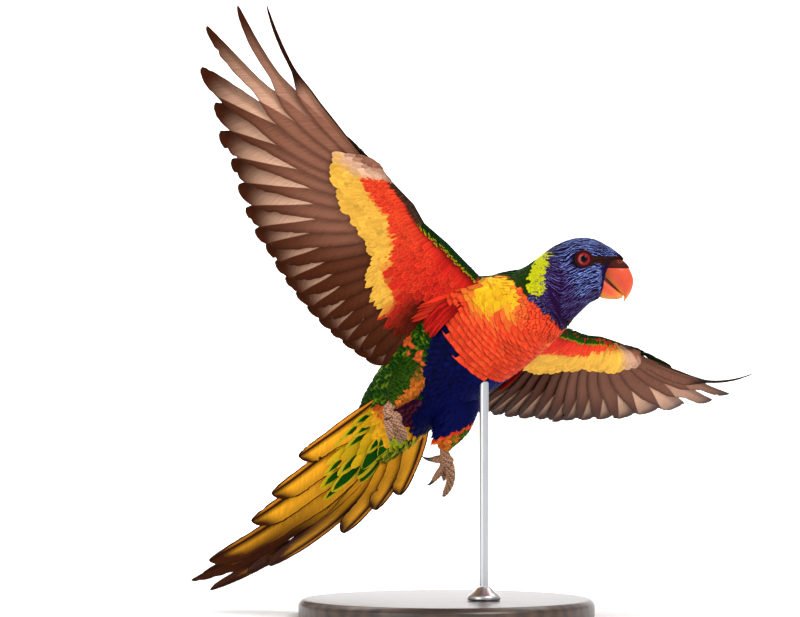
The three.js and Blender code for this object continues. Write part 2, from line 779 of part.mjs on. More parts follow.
// Stand, in the world's frame
function standBase() {
  const [r, h, c] = [BASE_RADIUS, BASE_THICKNESS, BASE_CHAMFER];
  const profile = [
    [0, 0],
    [r, 0],
    [r, h - c],
    [r - c, h],
    [0, h],
  ].map(([x, y]) => new THREE.Vector2(x, y));
  return solidOf(new THREE.LatheGeometry(profile, 48).rotateX(Math.PI / 2));
}

const collarFoot = BASE_THICKNESS + GAP;
const rodFoot = collarFoot + COLLAR_HEIGHT + GAP;

function standCollar() {
  const [r, h] = [COLLAR_RADIUS, COLLAR_HEIGHT];
  const profile = [
    [0, 0],
    [r, 0],
    [r, h * 0.3],
    [r * 0.55, h * 0.75],
    [ROD_RADIUS + 0.8, h],
    [0, h],
  ].map(([x, y]) => new THREE.Vector2(x, y));
  const place = new THREE.Matrix4().makeTranslation(ROD_AT[0], ROD_AT[1], collarFoot);
  return solidOf(new THREE.LatheGeometry(profile, 24).rotateX(Math.PI / 2), place);
}

function standRod() {
  const length = TORSO_AT[2] - rodFoot;
  const place = new THREE.Matrix4().makeTranslation(ROD_AT[0], ROD_AT[1], rodFoot + length / 2);
  const rod = solidOf(new THREE.CylinderGeometry(ROD_RADIUS, ROD_RADIUS, length, 20).rotateX(Math.PI / 2), place);
  return rod.subtract(wholeTrunk.transform(BIRD_TO_WORLD.toArray()).translate([0, 0, -GAP]));
}

const bird = new THREE.Group();
bird.name = "bird";
bird.position.set(...TORSO_AT);
bird.quaternion.copy(BIRD_TURN);
bird.add(
  meshOf("torso", torso(), materials.breastFeathers),
  meshOf("neck", neck(), materials.neckFeathers),
  meshOf("head", head(), materials.headFeathers),
  meshOf("cere", cere(), materials.cere),
  meshOf("bill_upper", hookedBill(), materials.bill),
  meshOf("bill_lower", lowerBill(), materials.bill),
  meshOf("eye_right", eye(1), materials.eye),
  meshOf("eye_left", eye(-1), materials.eye),
  meshOf("tail", tail(), materials.tailFeathers),
);
for (const [side, pose] of Object.entries(WING_POSES)) {
  bird.add(meshOf(`wing_${side}`, wing(pose), materials.wingFeathers));
  bird.add(meshOf(`thigh_${side}`, thigh(side).subtract(clearTrunk), materials.thighFeathers));
  bird.add(meshOf(`foot_${side}`, foot(side), materials.foot));
  LEGS[side].toes.forEach((toe, i) => bird.add(meshOf(`claw_${side}_${i + 1}`, claw(toe), materials.claw)));
}

const stand = new THREE.Group();
stand.name = "stand";
stand.add(
  meshOf("stand_base", standBase(), materials.wood),
  meshOf("stand_collar", standCollar(), materials.steel),
  meshOf("stand_rod", standRod(), materials.steel),
);

const lorikeet = new THREE.Group();
lorikeet.name = "rainbow_lorikeet";
lorikeet.add(bird, stand);

export default lorikeet;
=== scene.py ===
"""A rainbow lorikeet in banking flight on a display stand: skin, feathers, bill, eyes, feet and stand.

The bird is worked out in millimetres in its own frame, x to its right, y forward and z towards its
back, and is turned into its flight pose and into metres as each mesh is made.
"""

from types import SimpleNamespace

import bpy
import numpy as np
from bpy.props import FloatProperty, FloatVectorProperty, IntProperty, PointerProperty
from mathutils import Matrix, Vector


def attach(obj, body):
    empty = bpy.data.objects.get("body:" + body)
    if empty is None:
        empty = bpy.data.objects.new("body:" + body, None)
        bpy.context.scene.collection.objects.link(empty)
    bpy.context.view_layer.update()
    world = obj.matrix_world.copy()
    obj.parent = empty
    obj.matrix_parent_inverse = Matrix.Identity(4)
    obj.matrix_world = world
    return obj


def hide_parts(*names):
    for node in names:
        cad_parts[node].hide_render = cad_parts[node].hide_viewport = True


bl_info = {
    "name": "Rainbow Lorikeet",
    "version": (1, 0, 0),
    "blender": (4, 5, 0),
    "location": "View3D > Sidebar > Lorikeet",
    "description": "Builds the skin, feathers, bill, eyes, feet and stand of a lorikeet in flight",
    "category": "Object",
}

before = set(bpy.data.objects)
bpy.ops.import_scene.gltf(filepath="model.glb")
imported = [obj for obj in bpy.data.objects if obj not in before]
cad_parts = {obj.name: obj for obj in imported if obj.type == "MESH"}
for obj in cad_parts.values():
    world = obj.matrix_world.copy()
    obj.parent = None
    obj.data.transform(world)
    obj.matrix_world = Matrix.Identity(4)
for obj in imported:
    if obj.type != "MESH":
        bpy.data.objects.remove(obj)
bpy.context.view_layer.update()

# Pose of the body and place of the head, as in the part
HEADING, CLIMB, BANK = -28.3, 36.4, 43
TORSO_AT = np.array([10.0, 0, 147])
HEAD_AT = np.array([-8.7, 73.6, 2.6])

# Trunk stations from tail coverts to brow: middle, half width, height above it and below it
TORSO_STATIONS = [
    [-12, -92, -6.5, 8, 2.5, 3],
    [-8, -72, -3, 16.5, 8.5, 10.5],
    [-4, -56, -1, 19, 13, 15],
    [-1, -40, -1, 23, 17, 19.5],
    [0, -20, -1, 27, 21, 23.5],
    [0, 0, -1, 29, 23, 26],
    [-1, 20, -1, 29, 23, 26.5],
    [-5, 42, -1, 24, 19.5, 24],
    [-8.5, 54, 0.5, 19.5, 17.5, 20.5],
]
HEAD_STATIONS = [
    [-3.2, -8, -6, 17, 20, 26.5],
    [-1, 0, -1.7, 15.2, 18.5, 24],
    [0, 8, -0.3, 14, 17.3, 17.8],
    [0, 13.5, 0.2, 12, 15.1, 14.9],
    [0, 15.6, 2.8, 9.6, 11.3, 8],
    [0, 17.6, 5.5, 7.6, 7.5, 5.5],
    [0, 19.6, 7, 6, 4.9, 4],
    [0, 23, 7.3, 4.2, 2, 2],
    [0, 26.4, 5.7, 2, 0.7, 0.8],
]
BUMPS = [[6.45, 32, 0.45, 35, 4.8], [2.2, 12, 1.0, 50, 3.3], [2.5, 208, 0.6, 30, 2.5]]
LAST_STATION = len(TORSO_STATIONS) + len(HEAD_STATIONS) - 1

# Depth of the coat over the skin: stations, then depths
COAT_DEPTHS = [[0, 1, 3, 7, 8.6, 10, 13, 17], [1.2, 2, 2.4, 2.2, 1.6, 1, 0.7, 0.3]]

# Edges of the body's markings: the belly's two sides as degrees from its middle over the station, and
# both ends of the collar as stations over those degrees
BELLY_RIGHT = [[2, 2.33, 3.3, 3.8, 4.35, 4.82, 5.32], [-47, -19, 5, 24, 44, 59, 69]]
BELLY_LEFT = [[2, 2.6, 3.3, 4.3, 5.3], [50, 55, 60, 64, 70]]
COLLAR_REAR = [[42, 61, 94, 119, 180], [7.95, 8, 8.28, 8.37, 8.4]]
COLLAR_FRONT = [[42, 60, 87, 109, 145, 180], [8.24, 8.47, 8.59, 8.72, 8.77, 8.8]]

# Body feathers by coat: the stations between which they grow, then in millimetres the step between rows
# and the gap in a row, length and width, then looseness, ridge and bluntness, the border's width and slot
COATS = {
    "coat_rump": ((0.9, 2.3), 3.0, 3.4, 9.5, 5.2, 0.3, 0.35, 0.6, 0.9, "feather_tail"),
    "coat_belly": ((2.2, 5.15), 3.0, 3.3, 9.0, 5.0, 0.3, 0.35, 0.6, 0.9, "feather_breast"),
    "coat_breast": ((5.1, 7.75), 3.3, 4.6, 10.5, 11.0, 0.06, 0.16, 0.88, 0.45, "feather_breast"),
    "coat_neck": ((7.35, 8.75), 1.8, 2.0, 6.5, 2.9, 0.3, 0.3, 0.6, 0.4, "feather_neck"),
}

# Section of a small feather, as places across it and heights, and default sizes of the coat in metres
FEATHER_SECTION = [[-1, 0], [-0.55, 0.7], [0, 1], [0.55, 0.7], [1, 0], [0, -0.5]]
BREAST_FEATHER, HEAD_FEATHER, ROW_STEP = 0.0095, 0.005, 0.0031

# Rows of the head's feathers: how many in a ring, and the step between rings in millimetres
HEAD_COLUMNS, HEAD_ROW_STEP = 84, 1.42

# Eyes, lids and bill in the head's frame
EYE_RADIUS, EYE_AT = 5.0, np.array([10.4, 4.5, 5.6])
PUPIL, SOCKET_RADIUS = 1.6, 4.9
LID_RADIUS, LID_THICKNESS = 4.3, 0.6
UPPER_BILL = [
    [22, 7.5, 11, -2, 5],
    [27.6, 3.4, 16, -4.4, 6],
    [30.2, -0.9, 19.5, -7.4, 5.8],
    [31.6, -5, 22.8, -10.3, 5],
    [31.2, -9.4, 25.2, -12.5, 3.7],
    [29.4, -13.4, 26.6, -14.7, 2],
    [26.6, -17.4, 26.2, -17.1, 0.5],
]
LOWER_BILL = [
    [10, -2, 9, -11, 4.5],
    [15.2, -5, 13.4, -14.6, 5.4],
    [18.2, -7.7, 17, -15.7, 5.1],
    [21.4, -10.6, 20.8, -16, 4.3],
    [24, -12.9, 23.6, -15.8, 3],
    [25.8, -14.6, 25.7, -15, 0.8],
]
MOUTH_LINE = [[9, 0], [15.6, -3.2], [18.8, -5.6], [21.8, -8.6], [24.2, -11.4]]
CERE_EDGE = 0.8
NOSTRIL_AT = [2.7, 24.2, 4.4]

# Wing planform in its own frame: x out along the span, y forward, z towards the back
SHOULDER = [15, 21.7, 2.3]
WRIST, ELBOW, HAND_END = [59, 3], [26, -12], [91.5, 2]
LEADING_EDGE = [[-12, 14], [20, 11], [36, 9.5], [52, 6.5], [64, 8.5], [80, 7], [96, 4.5]]
ARM_THICKNESS = [9, 2.2]
CORE_SHARE, CORE_EDGE = 0.4, 2.4
BOW_SPAN = 200
PRIMARY_LENGTHS = [85, 87, 89, 92, 99, 104, 116, 123, 115, 103]
PRIMARY_WIDTHS = [16, 16, 16, 16, 16, 16, 15.5, 14, 12, 8.5]
PRIMARY_NARROWS = [1, 1, 1, 1, 1, 0.95, 0.8, 0.55, 0.45, 0.28]
SECONDARY_COUNT, SECONDARY_LENGTHS, SECONDARY_WIDTH = 10, [81, 57], 18
TERTIALS = [[12, -9, -30.7, 43], [17, -11, -26, 48], [22, -12, -22.6, 52]]
ALULA = {"root": [60, 5], "angle": 87, "length": 33, "width": 7}
ALULA_DEPTH = 2.2
FLIGHT_COUNT = len(TERTIALS) + SECONDARY_COUNT + len(PRIMARY_LENGTHS)
LEADING_WEB, VANE_TILT, SWEEP_FROM = 0.26, 11, 0.4
# Millimetres by which the painted light of a single web reaches into the painted shade of the overlap towards
# a flight feather's tip
WEDGE = 3.4

# Blades of the quills: how full they are at the root, where their round tips start, the cells of their
# charts across and down, the points across a blade from edge to edge, and where the points round it lie
# in a cell
QUILL_ROOT, QUILL_TIP, TAIL_TIP = 0.6, 0.76, 0.84
WING_CELLS, TAIL_CELLS = (6, 5), (4, 3)
BLADE_POINTS = [-1, -0.78, -0.55, -0.3, -0.05, 0.05, 0.4, 0.72, 1.0]
BLADE_CHART = np.array(
    [0.03, 0.06, 0.12, 0.2, 0.26, 0.3, 0.36, 0.42, 0.5, 0.56, 0.62, 0.68, 0.74, 0.8, 0.86, 0.92, 0.97]
)
ALULA_ROWS = 14
WING_POSES = {
    "right": {
        "side": 1,
        "raise": 16.7,
        "swing": 6.1,
        "twist": 5.8,
        "bow": 0,
        "primary_angles": [30.6, 36.7, 43.3, 50.8, 58.5, 65, 69, 75.6, 81.5, 88.6],
        "secondary_angles": [25.1, -19.7],
        "tip_bends": [2.4, 3.2, 4.5, 5.4, 6.2, 8, 11.1, 14.4, 17.2, 15.4],
        "tip_sweeps": [0, 0, 0, -1, -3, -3, 1, 6, 12, 10.5],
        "grow": [-6, 2],
    },
    "left": {
        "side": -1,
        "raise": 22.4,
        "swing": 7.2,
        "twist": -11.4,
        "bow": 10,
        "primary_angles": [34.7, 39.1, 44.5, 50, 56, 64, 71.3, 79.9, 86.9, 87.4],
        "secondary_angles": [29.3, -19],
        "tip_bends": [4.2, 6.5, 7.6, 9, 11.8, 14.6, 19.6, 20.4, 17.2, 16.1],
        "tip_sweeps": [0, 0, 0, 0, 0, -2.5, -7.5, -12.5, -13.5, 9.6],
        "grow": [8, 6],
    },
}

# Markings under the wings by side: the flight feather where the leading edge turns from green to dark,
# and along the feathers the chord's shares where the edge's colour, the red and the gold end
WING_MARKS = {
    1: {
        "green": 10.6,
        "edge": [
            [-1, 0, 3, 9, 10.6, 11.8, 13.8, 15.2, 17.1, 18.7, 20, 22],
            [0.01, 0.015, 0.037, 0.037, 0.02, 0.03, 0.035, 0.04, 0.04, 0.06, 0.05, 0.02],
        ],
        "red": [
            [-1, 4.2, 5.4, 7.2, 8.2, 9, 10, 11.8, 13.6, 15.8, 17.2, 18.4, 22],
            [0.6, 0.54, 0.5, 0.45, 0.39, 0.29, 0.25, 0.21, 0.2, 0.235, 0.235, 0.05, 0],
        ],
        "gold": [
            [-1, 4.2, 5.4, 6.7, 7.8, 9, 10, 11, 13, 14.5, 15.5, 17, 18.4, 20, 22],
            [0.6, 0.56, 0.555, 0.52, 0.47, 0.43, 0.41, 0.4, 0.4, 0.43, 0.425, 0.39, 0.34, 0.16, 0.05],
        ],
    },
    -1: {
        "green": 17.0,
        "edge": [[-1, 15, 18, 22], [0.015, 0.02, 0.035, 0.03]],
        "red": [
            [-1, 4, 6, 10, 14.3, 17.6, 19.3, 20.5, 22],
            [0.3, 0.24, 0.19, 0.155, 0.12, 0.125, 0.13, 0.05, 0],
        ],
        "gold": [
            [-1, 4, 8.2, 9.7, 12, 14.7, 16, 17.2, 19.2, 20.5, 22],
            [0.46, 0.45, 0.42, 0.36, 0.3, 0.3, 0.3, 0.27, 0.2, 0.1, 0.04],
        ],
    },
}

# Rows of coverts. Under the wing, the gold ones by how far they start from the band's end, with heights of
# root and tip off the face, and the count of red ones; over it, start along the chord, length, width,
# spacing and heights; and the count of small rows at its leading edge
GOLD_ROWS = ((0.0, (1.0, 1.8)), (0.2, (1.2, 2.0)), (0.4, (1.3, 2.1)), (0.6, (1.4, 2.2)))
RED_ROWS = 14
UPPER_ROWS = ((0.16, 38, 11, 5, (0.2, 0.9)), (0.12, 24, 9, 4.4, (0.5, 1.3)))
SMALL_ROWS = 9

# Loose plumes by side: the counts of long and short ones, the flight feather where the long ones' tips
# start, and how far along the chord they reach, with how much that varies
PLUMES = {1: (30, 70, 1.2, 0.62, 0.16), -1: (14, 4, 0.2, 0.26, 0.1)}

# Tail fan, with each feather's angle and length from the middle out, how much of the end of the inner
# feathers is brown, and how far the coverts reach at angles to the tail's line
TAIL_AT = np.array([-4.0, -47, 4])
TAIL_YAW, TAIL_PITCH, TAIL_ROLL = -19.6, 11.8, 15.7
TAIL_LIFT, TAIL_SWAY, TAIL_ROOT_STEP = 12.3, 31.7, 3.2
TAIL_FEATHERS = {
    1: {
        "angles": [-6.1, -5.9, -2.1, 5.7, 12.9, 25.8],
        "lengths": [152.4, 144.8, 132.2, 97.8, 77.8, 53.2],
        "spread": 3.1,
        "curve": 4,
    },
    -1: {
        "angles": [11.6, 9.5, 10, 15.2, 17, 21.8],
        "lengths": [161.2, 138.8, 129.6, 96.6, 76, 63.6],
        "spread": 1.6,
        "curve": 0,
    },
}
TAIL_WIDTHS = [15, 16, 17, 18, 17, 15]
TAIL_STEP, TAIL_WEB, TAIL_NARROW = 1, 0.22, 0.85
TAIL_BROWN = [0.95, 0.9, 0.6, 0.12]
COVERT_TIPS = [[-32, -15, -7, 3, 13, 25, 38, 56], [31, 42, 55, 74, 61, 51, 42, 24]]

# Legs: the thigh's line with its radii, then the foot's
LEGS = {
    "right": {
        "thigh": [[13, -14, -5, 9], [14, -24, -12, 10], [15, -34, -19, 8.5], [15, -41, -24, 4.2]],
        "tarsus": [[15, -41.8, -24.6, 2.6], [16, -45, -28, 2.7], [13, -47, -30, 3]],
        "toes": [
            [[13, -46.5, -30, 2.4], [7, -47.5, -30, 2.3], [0, -50, -28.5, 2.1], [-5, -53, -26, 1.7]],
            [[13, -48.5, -30, 2.4], [6, -51, -29.5, 2.2], [-1, -54, -27.5, 2], [-5.5, -57, -25, 1.6]],
            [[13, -46, -29, 2.3], [9, -45.5, -27, 2.1], [5, -47, -25, 1.6]],
            [[13, -48.5, -30.5, 2.3], [8.5, -52, -32, 2.1], [4, -55.5, -31.5, 1.7]],
        ],
    },
    "left": {
        "thigh": [[-14, -14, -6, 10], [-19, -24, -12, 11], [-24, -34, -18, 9], [-27, -43.5, -22.5, 4.4]],
        "tarsus": [[-27.3, -44.4, -22.9, 2.6], [-31, -48, -23.4, 2.7], [-36.5, -50.5, -23.6, 3.4]],
        "toes": [
            [
                [-36.5, -50.5, -23.6, 2.8], [-43, -55, -24, 2.6],
                [-48, -61, -23.5, 2.3], [-51.5, -67.5, -22, 1.7],
            ],
            [
                [-35.5, -52, -23, 2.4], [-38.5, -57, -21.5, 2.2],
                [-39.5, -61, -21.5, 2], [-40, -65, -22.5, 1.5],
            ],
            [[-36, -51, -22.5, 2.6], [-40.5, -56.5, -19.5, 2.3], [-45.5, -62, -18, 1.7]],
            [[-34.5, -50.5, -23, 2.6], [-32, -53, -22.5, 2.4], [-29.5, -55.5, -22.5, 1.8]],
        ],
    },
}
CLAW_LENGTH, CLAW_CURL = 6.5, 62

# Stand
BASE_RADIUS, BASE_THICKNESS, BASE_CHAMFER = 80, 10, 2.5
ROD_RADIUS, ROD_AT = 2.5, [20, -14]
COLLAR_RADIUS, COLLAR_HEIGHT, GAP = 9, 7, 0.3

# Backdrop, in metres: where the floor starts to rise, the radius of the bend and the top of the wall
BEND_AT, BEND_RADIUS, WALL_TOP = 2.8, 1.7, 5

# Lights: place and aim, size in metres and power in watts
LIGHTS = {
    "key": ((1.1, -1.5, 1.5), (0, 0, 0.17), 1.0, 34),
    "fill": ((-1.5, -1.7, 0.3), (0, 0, 0.17), 1.4, 16),
    "floor": ((0, 1.2, 1.8), (0, 2.6, 0), 2.2, 75),
    "backdrop": ((0, 2.6, 2.2), (0, 4.5, 0.6), 2.2, 60),
}

SKY_STRENGTH = 0.5

# Camera in metres, level along y, with its lens and sensor in millimetres
CAMERA_AT = [-0.0251, -2.4, 0.1667]
CAMERA_LENS, SENSOR = 200, 36

MILLIMETRE = 0.001
WHITE = [1, 1, 1]

# Value of the split attribute where a feather has its first colour only
ONE_COLOUR = 9.0

# Properties that every group has of its own
NOT_SHOWN = ("rna_type", "name")


def unit(v):
    """Each vector divided by its length."""
    return v / np.maximum(np.linalg.norm(v, axis=-1, keepdims=True), 1e-9)


def smooth(x, low, high):
    """0 below low, 1 above high, and the cubic step between them."""
    t = np.clip((x - low) / (high - low), 0, 1)
    return t * t * (3 - 2 * t)


def blend(a, b, share):
    """a where share is 0, b where it is 1, on the last axis of colours or points."""
    share = np.asarray(share, float)[..., None]
    return a * (1 - share) + b * share


def turned(axis, degrees):
    """Rotation matrix about x, y or z."""
    c, s = np.cos(np.radians(degrees)), np.sin(np.radians(degrees))
    i, j = {"x": (1, 2), "y": (2, 0), "z": (0, 1)}[axis]
    matrix = np.eye(3)
    matrix[i, i] = matrix[j, j] = c
    matrix[j, i], matrix[i, j] = s, -s
    return matrix


def flight_turn(heading, climb, bank):
    """Turn of a body that flies with this heading, climb and bank."""
    return turned("z", heading - 90) @ turned("x", climb) @ turned("y", -bank)


BIRD = flight_turn(HEADING, CLIMB, BANK)
HEAD = BIRD.T @ flight_turn(0, 0, 0)


def spline(points, t):
    """Smooth curve through points at the whole numbers of t, by the uniform Catmull-Rom formula."""
    points = np.asarray(points, float)
    q = np.concatenate([[2 * points[0] - points[1]], points, [2 * points[-1] - points[-2]]])
    t = np.asarray(t, float)
    i = np.clip(np.floor(t), 0, len(points) - 2).astype(int)
    u = (t - i)[..., None]
    a, b, c, d = q[i], q[i + 1], q[i + 2], q[i + 3]
    return 0.5 * (2 * b + (c - a) * u + (2 * a - 5 * b + 4 * c - d) * u**2 + (3 * b - a - 3 * c + d) * u**3)


def walked(line):
    """Distance along a line of points, from 0 at its first."""
    return np.concatenate([[0], np.cumsum(np.linalg.norm(np.diff(line, axis=0), axis=1))])


def station_rows():
    """Middles, forward and up directions and sizes of the trunk's stations."""
    torso, head = np.array(TORSO_STATIONS, float), np.array(HEAD_STATIONS, float)
    count = len(torso)
    middles = np.concatenate([torso[:, :3], head[:, :3] @ HEAD.T + HEAD_AT])
    aheads = np.concatenate([np.tile([0.0, 1, 0], (count, 1)), np.tile(HEAD[:, 1], (len(head), 1))])
    ups = np.concatenate([np.tile([0.0, 0, 1], (count, 1)), np.tile(HEAD[:, 2], (len(head), 1))])
    return middles, aheads, ups, np.concatenate([torso[:, 3:], head[:, 3:]])


TRUNK = station_rows()


def trunk(station, turn, height=0.0):
    """Body and head: round the curve through the stations, an ellipse of its own height above and below.

    turn is the angle round it in degrees, 0 at the bird's right and 90 at the back, and height stands
    off that surface.
    """
    middle, ahead, up, size = (spline(rows, station) for rows in TRUNK)
    ahead = unit(ahead)
    side = unit(np.cross(ahead, up))
    up = np.cross(side, ahead)
    c, s = np.cos(np.radians(turn))[..., None], np.sin(np.radians(turn))[..., None]
    size = size + np.asarray(height, float)[..., None]
    tall = np.where(s > 0, size[..., 1:2], size[..., 2:3])
    return middle + side * size[..., :1] * c + up * tall * s


def coat_depth(station):
    """How deep the feathers are over the skin along the trunk."""
    return np.interp(station, *COAT_DEPTHS)


def fluff(station, turn):
    """How far loose feathers stand out: a Gauss bump over the mantle and one over the flank."""
    total = 0.0
    for at, round_it, long, wide, height in BUMPS:
        gap = (turn - round_it + 180) % 360 - 180
        total = total + height * np.exp(-(((station - at) / long) ** 2) - (gap / wide) ** 2)
    return total


def head_frame(points):
    """Points of the bird in the head's own frame."""
    return (points - HEAD_AT) @ HEAD


def from_head(points):
    """Points of the head's frame in the bird's."""
    return points @ HEAD.T + HEAD_AT


# Meshes


def ring_faces(count, rows, ring):
    """Quads between the rings of count tubes, and the polygons that close both ends of each."""
    base = (np.arange(count) * rows * ring)[:, None, None]
    row = (np.arange(rows - 1) * ring)[:, None]
    k = np.arange(ring)
    a, b = base + row + k, base + row + (k + 1) % ring
    quads = np.stack([a, b, b + ring, a + ring], -1).reshape(-1, 4)
    first = base[:, 0] + k[::-1]
    return [quads, np.concatenate([first, base[:, 0] + (rows - 1) * ring + k])]


def circle(count):
    """Degrees of points at even steps round a closed ring."""
    return np.linspace(0, 360, count + 1)[:-1]


def rings(last, rows, ring):
    """Grids of stations from 0 to the last and of degrees round a closed ring."""
    return np.meshgrid(np.linspace(0, last, rows), circle(ring), indexing="ij")


def volume(points, faces):
    """Signed volume inside closed faces: the sum of a . (b x c) / 6 over their triangles."""
    total = 0.0
    for block in faces:
        for j in range(1, block.shape[1] - 1):
            a, b, c = points[block[:, 0]], points[block[:, j]], points[block[:, j + 1]]
            total += np.einsum("ij,ij->", a, np.cross(b, c)) / 6
    return total


def part(points, faces, tint, **layers):
    """One closed form, or many alike, with faces turned outwards; tint is a colour at each point."""
    points = np.asarray(points, float).reshape(-1, 3)
    if volume(points - points.mean(0), faces) < 0:
        faces = [block[:, ::-1] for block in faces]
        if isinstance(layers.get("OFBake"), list):
            layers["OFBake"] = [block[:, ::-1] for block in layers["OFBake"]]
    tint = np.broadcast_to(tint, points.shape) if np.ndim(tint) < 2 else np.reshape(tint, (-1, 3))
    return {"points": points, "faces": faces, "tint": tint, **layers}


def corner_values(values, faces):
    """Values at the corners of faces, from blocks of corners or from values at the points."""
    if isinstance(values, list):
        return np.concatenate([block.reshape(-1, 2) for block in values])
    values = np.reshape(values, (-1, 2))
    return np.concatenate([values[block.ravel()] for block in faces])


def piece(name, parts, material, slot, world=False, sharp=None):
    """Joins parts into one mesh object, in metres, with its colours and UV maps.

    The parts' points are in the bird's frame, or in the world's.
    """
    offset = np.cumsum([0] + [len(p["points"]) for p in parts])
    points = np.concatenate([p["points"] for p in parts])
    if not world:
        points = points @ BIRD.T + TORSO_AT
    blocks = [block + start for p, start in zip(parts, offset) for block in p["faces"]]
    loops = np.concatenate([block.ravel() for block in blocks]).astype(np.int32)
    totals = np.concatenate([np.full(len(block), block.shape[1]) for block in blocks])
    mesh = bpy.data.meshes.new(name)
    mesh.vertices.add(len(points))
    mesh.vertices.foreach_set("co", (points * MILLIMETRE).astype(np.float32).ravel())
    mesh.loops.add(len(loops))
    mesh.loops.foreach_set("vertex_index", loops)
    mesh.polygons.add(len(totals))
    starts = np.concatenate([[0], np.cumsum(totals)[:-1]]).astype(np.int32)
    mesh.polygons.foreach_set("loop_start", starts)
    mesh.polygons.foreach_set("use_smooth", np.ones(len(totals), bool))
    mesh.update(calc_edges=True)
    mesh.validate()
    for key in ("tint", "deep"):
        if key in parts[0]:
            values = np.concatenate([np.reshape(p[key], (-1, 3)) for p in parts])
            layer = mesh.color_attributes.new(key, "FLOAT_COLOR", "POINT")
            layer.data.foreach_set("color", np.c_[values, np.ones(len(values))].astype(np.float32).ravel())
    for key in ("vane", "OFBake"):
        if key in parts[0]:
            corners = [corner_values(p[key], p["faces"]) for p in parts]
            layer = mesh.uv_layers.new(name=key)
            layer.uv.foreach_set("vector", np.concatenate(corners).astype(np.float32).ravel())
    if "split" in parts[0]:
        values = np.concatenate([np.ravel(p["split"]) for p in parts])
        layer = mesh.attributes.new("split", "FLOAT", "POINT")
        layer.data.foreach_set("value", values.astype(np.float32))
    if sharp is not None:
        mesh.set_sharp_from_angle(angle=np.radians(sharp))
    mesh.materials.append(material)
    made = bpy.data.objects.new(name, mesh)
    bpy.context.scene.collection.objects.link(made)
    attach(made, "root")
    return made


# Feathers


def web_shape(t, round_from=0.62, root=0.45, narrow=1.0, notch=(0.5, 0.68)):
    """Half width of a web along a feather: grown from the root, narrow past the notch, round at the tip."""
    grown = root + (1 - root) * smooth(t, 0, 0.4)
    past = 1 + (narrow - 1) * smooth(t, *notch)
    tip = np.clip(t - round_from, 0, None) / (1 - round_from)
    return grown * past * np.sqrt(np.maximum(1 - 0.985 * tip**2, 0))


def body_feathers(
    surface, a, b, da, db, width, heights, looks, chart, rows=6, ridge=0.35, fall=0.02, blunt=0.62
):
    """Many small closed feathers laid on a surface of two parameters.

    Each feather's line is surface(a + da t, b + db t) at the height heights(t) for t from 0 to 1. Across
    it stand five points of a shallow arch and one under its middle, at the half width of web_shape.
    looks(t, u, inside) gives two colours and where the second takes over, with u from -1 to 1 across and
    inside the distance to the outline of the feather's end.
    """
    t = 1 - (1 - np.linspace(0, 1, rows)) ** 1.4
    ta = a[:, None] + da[:, None] * t
    tb = b[:, None] + db[:, None] * t
    high = np.broadcast_to(heights(t), ta.shape)
    line = surface(ta, tb, high)
    out = surface(ta, tb, high + 0.2) - line
    along = unit(np.gradient(line, axis=1))
    across = unit(np.cross(along, out))
    normal = np.cross(across, along)
    u, rise = np.transpose(FEATHER_SECTION)
    half = 0.5 * width[:, None] * web_shape(t, blunt)
    side = half[..., None] * u
    up = ridge * rise * web_shape(t, 0.3)[:, None] * np.minimum(1, width / 3)[:, None, None] - fall * side**2
    points = line[:, :, None] + across[:, :, None] * side[..., None] + normal[:, :, None] * up[..., None]
    reach = np.linalg.norm(line[:, -1] - line[:, 0], axis=-1)[:, None, None]
    free = 3 * (1 - smooth(t, blunt - 0.06, 0.5 + 0.5 * blunt))[:, None]
    inside = np.minimum(reach * (1 - t)[:, None], 0.5 * width[:, None, None] * (1 - np.abs(u)) + free)
    tint, deep, split = looks(t[:, None], u, inside)
    vane = np.stack(np.broadcast_arrays(side, reach * t[:, None]), -1)
    patch = 0.0015 * np.stack(np.broadcast_arrays(u, (2 * t - 1)[:, None]), -1)
    bake = chart(a, b)[:, None, None] + patch
    faces = ring_faces(len(a), rows, len(u))
    return part(points, faces, tint.reshape(-1, 3), deep=deep, split=split, vane=vane, OFBake=bake)


def trunk_lengths(turn):
    """Distance along the trunk at one turn round it, at fine steps of station."""
    s = np.linspace(0, LAST_STATION, 400)
    return s, walked(trunk(s, np.full_like(s, turn)))


def trunk_places(rng, low, high, step, gap, loose=0.25, columns=0):
    """Stations and turns of feather roots, in rows a step apart along the sides.

    In a row the roots stand a gap apart, shifted by half a gap in every second row, or in columns that
    wave a little from row to row.
    """
    s, right = trunk_lengths(0)
    length = (right + trunk_lengths(180)[1] + trunk_lengths(270)[1] + trunk_lengths(90)[1]) / 4
    ends = np.interp([low, high], s, length)
    rows = np.interp(np.arange(ends[0], ends[1], step), length, s)
    angles = np.linspace(0, 360, 25)
    found = []
    for i, row in enumerate(rows):
        walk = walked(trunk(np.full_like(angles, row), angles))
        count = columns or max(6, round(walk[-1] / gap))
        at = np.arange(count) + 0.5 * (i % 2) + rng.uniform(-0.22, 0.22, count)
        if columns:
            at = np.arange(count) + 0.3 * np.sin(0.45 * i + 2.4 * np.arange(count))
        at = at / count
        stations = row + rng.uniform(-loose, loose, count) * np.gradient(rows)[i]
        found.append(np.stack([stations, np.interp(at % 1 * walk[-1], walk, angles)], -1))
    return np.concatenate(found).T


def belly_turn(turn):
    """Degrees from the middle of the belly, positive to the bird's right, from -180 to 180."""
    return (np.asarray(turn) - 270 + 180) % 360 - 180


def along_trunk(station, turn):
    """Millimetres for one whole station, and for one degree of turn, at places on the trunk."""
    ahead = np.linalg.norm(trunk(station + 0.05, turn) - trunk(station - 0.05, turn), axis=-1) / 0.1
    round_it = np.linalg.norm(trunk(station, turn + 1) - trunk(station, turn - 1), axis=-1) / 2
    return np.maximum(ahead, 3), np.maximum(round_it, 0.05)


def chart_of_trunk(station, turn):
    """Unwrap of the trunk: turn across and station up."""
    return np.stack([0.02 + 0.96 * (turn % 360) / 360, 0.02 + 0.96 * station / LAST_STATION], -1)


# Colours


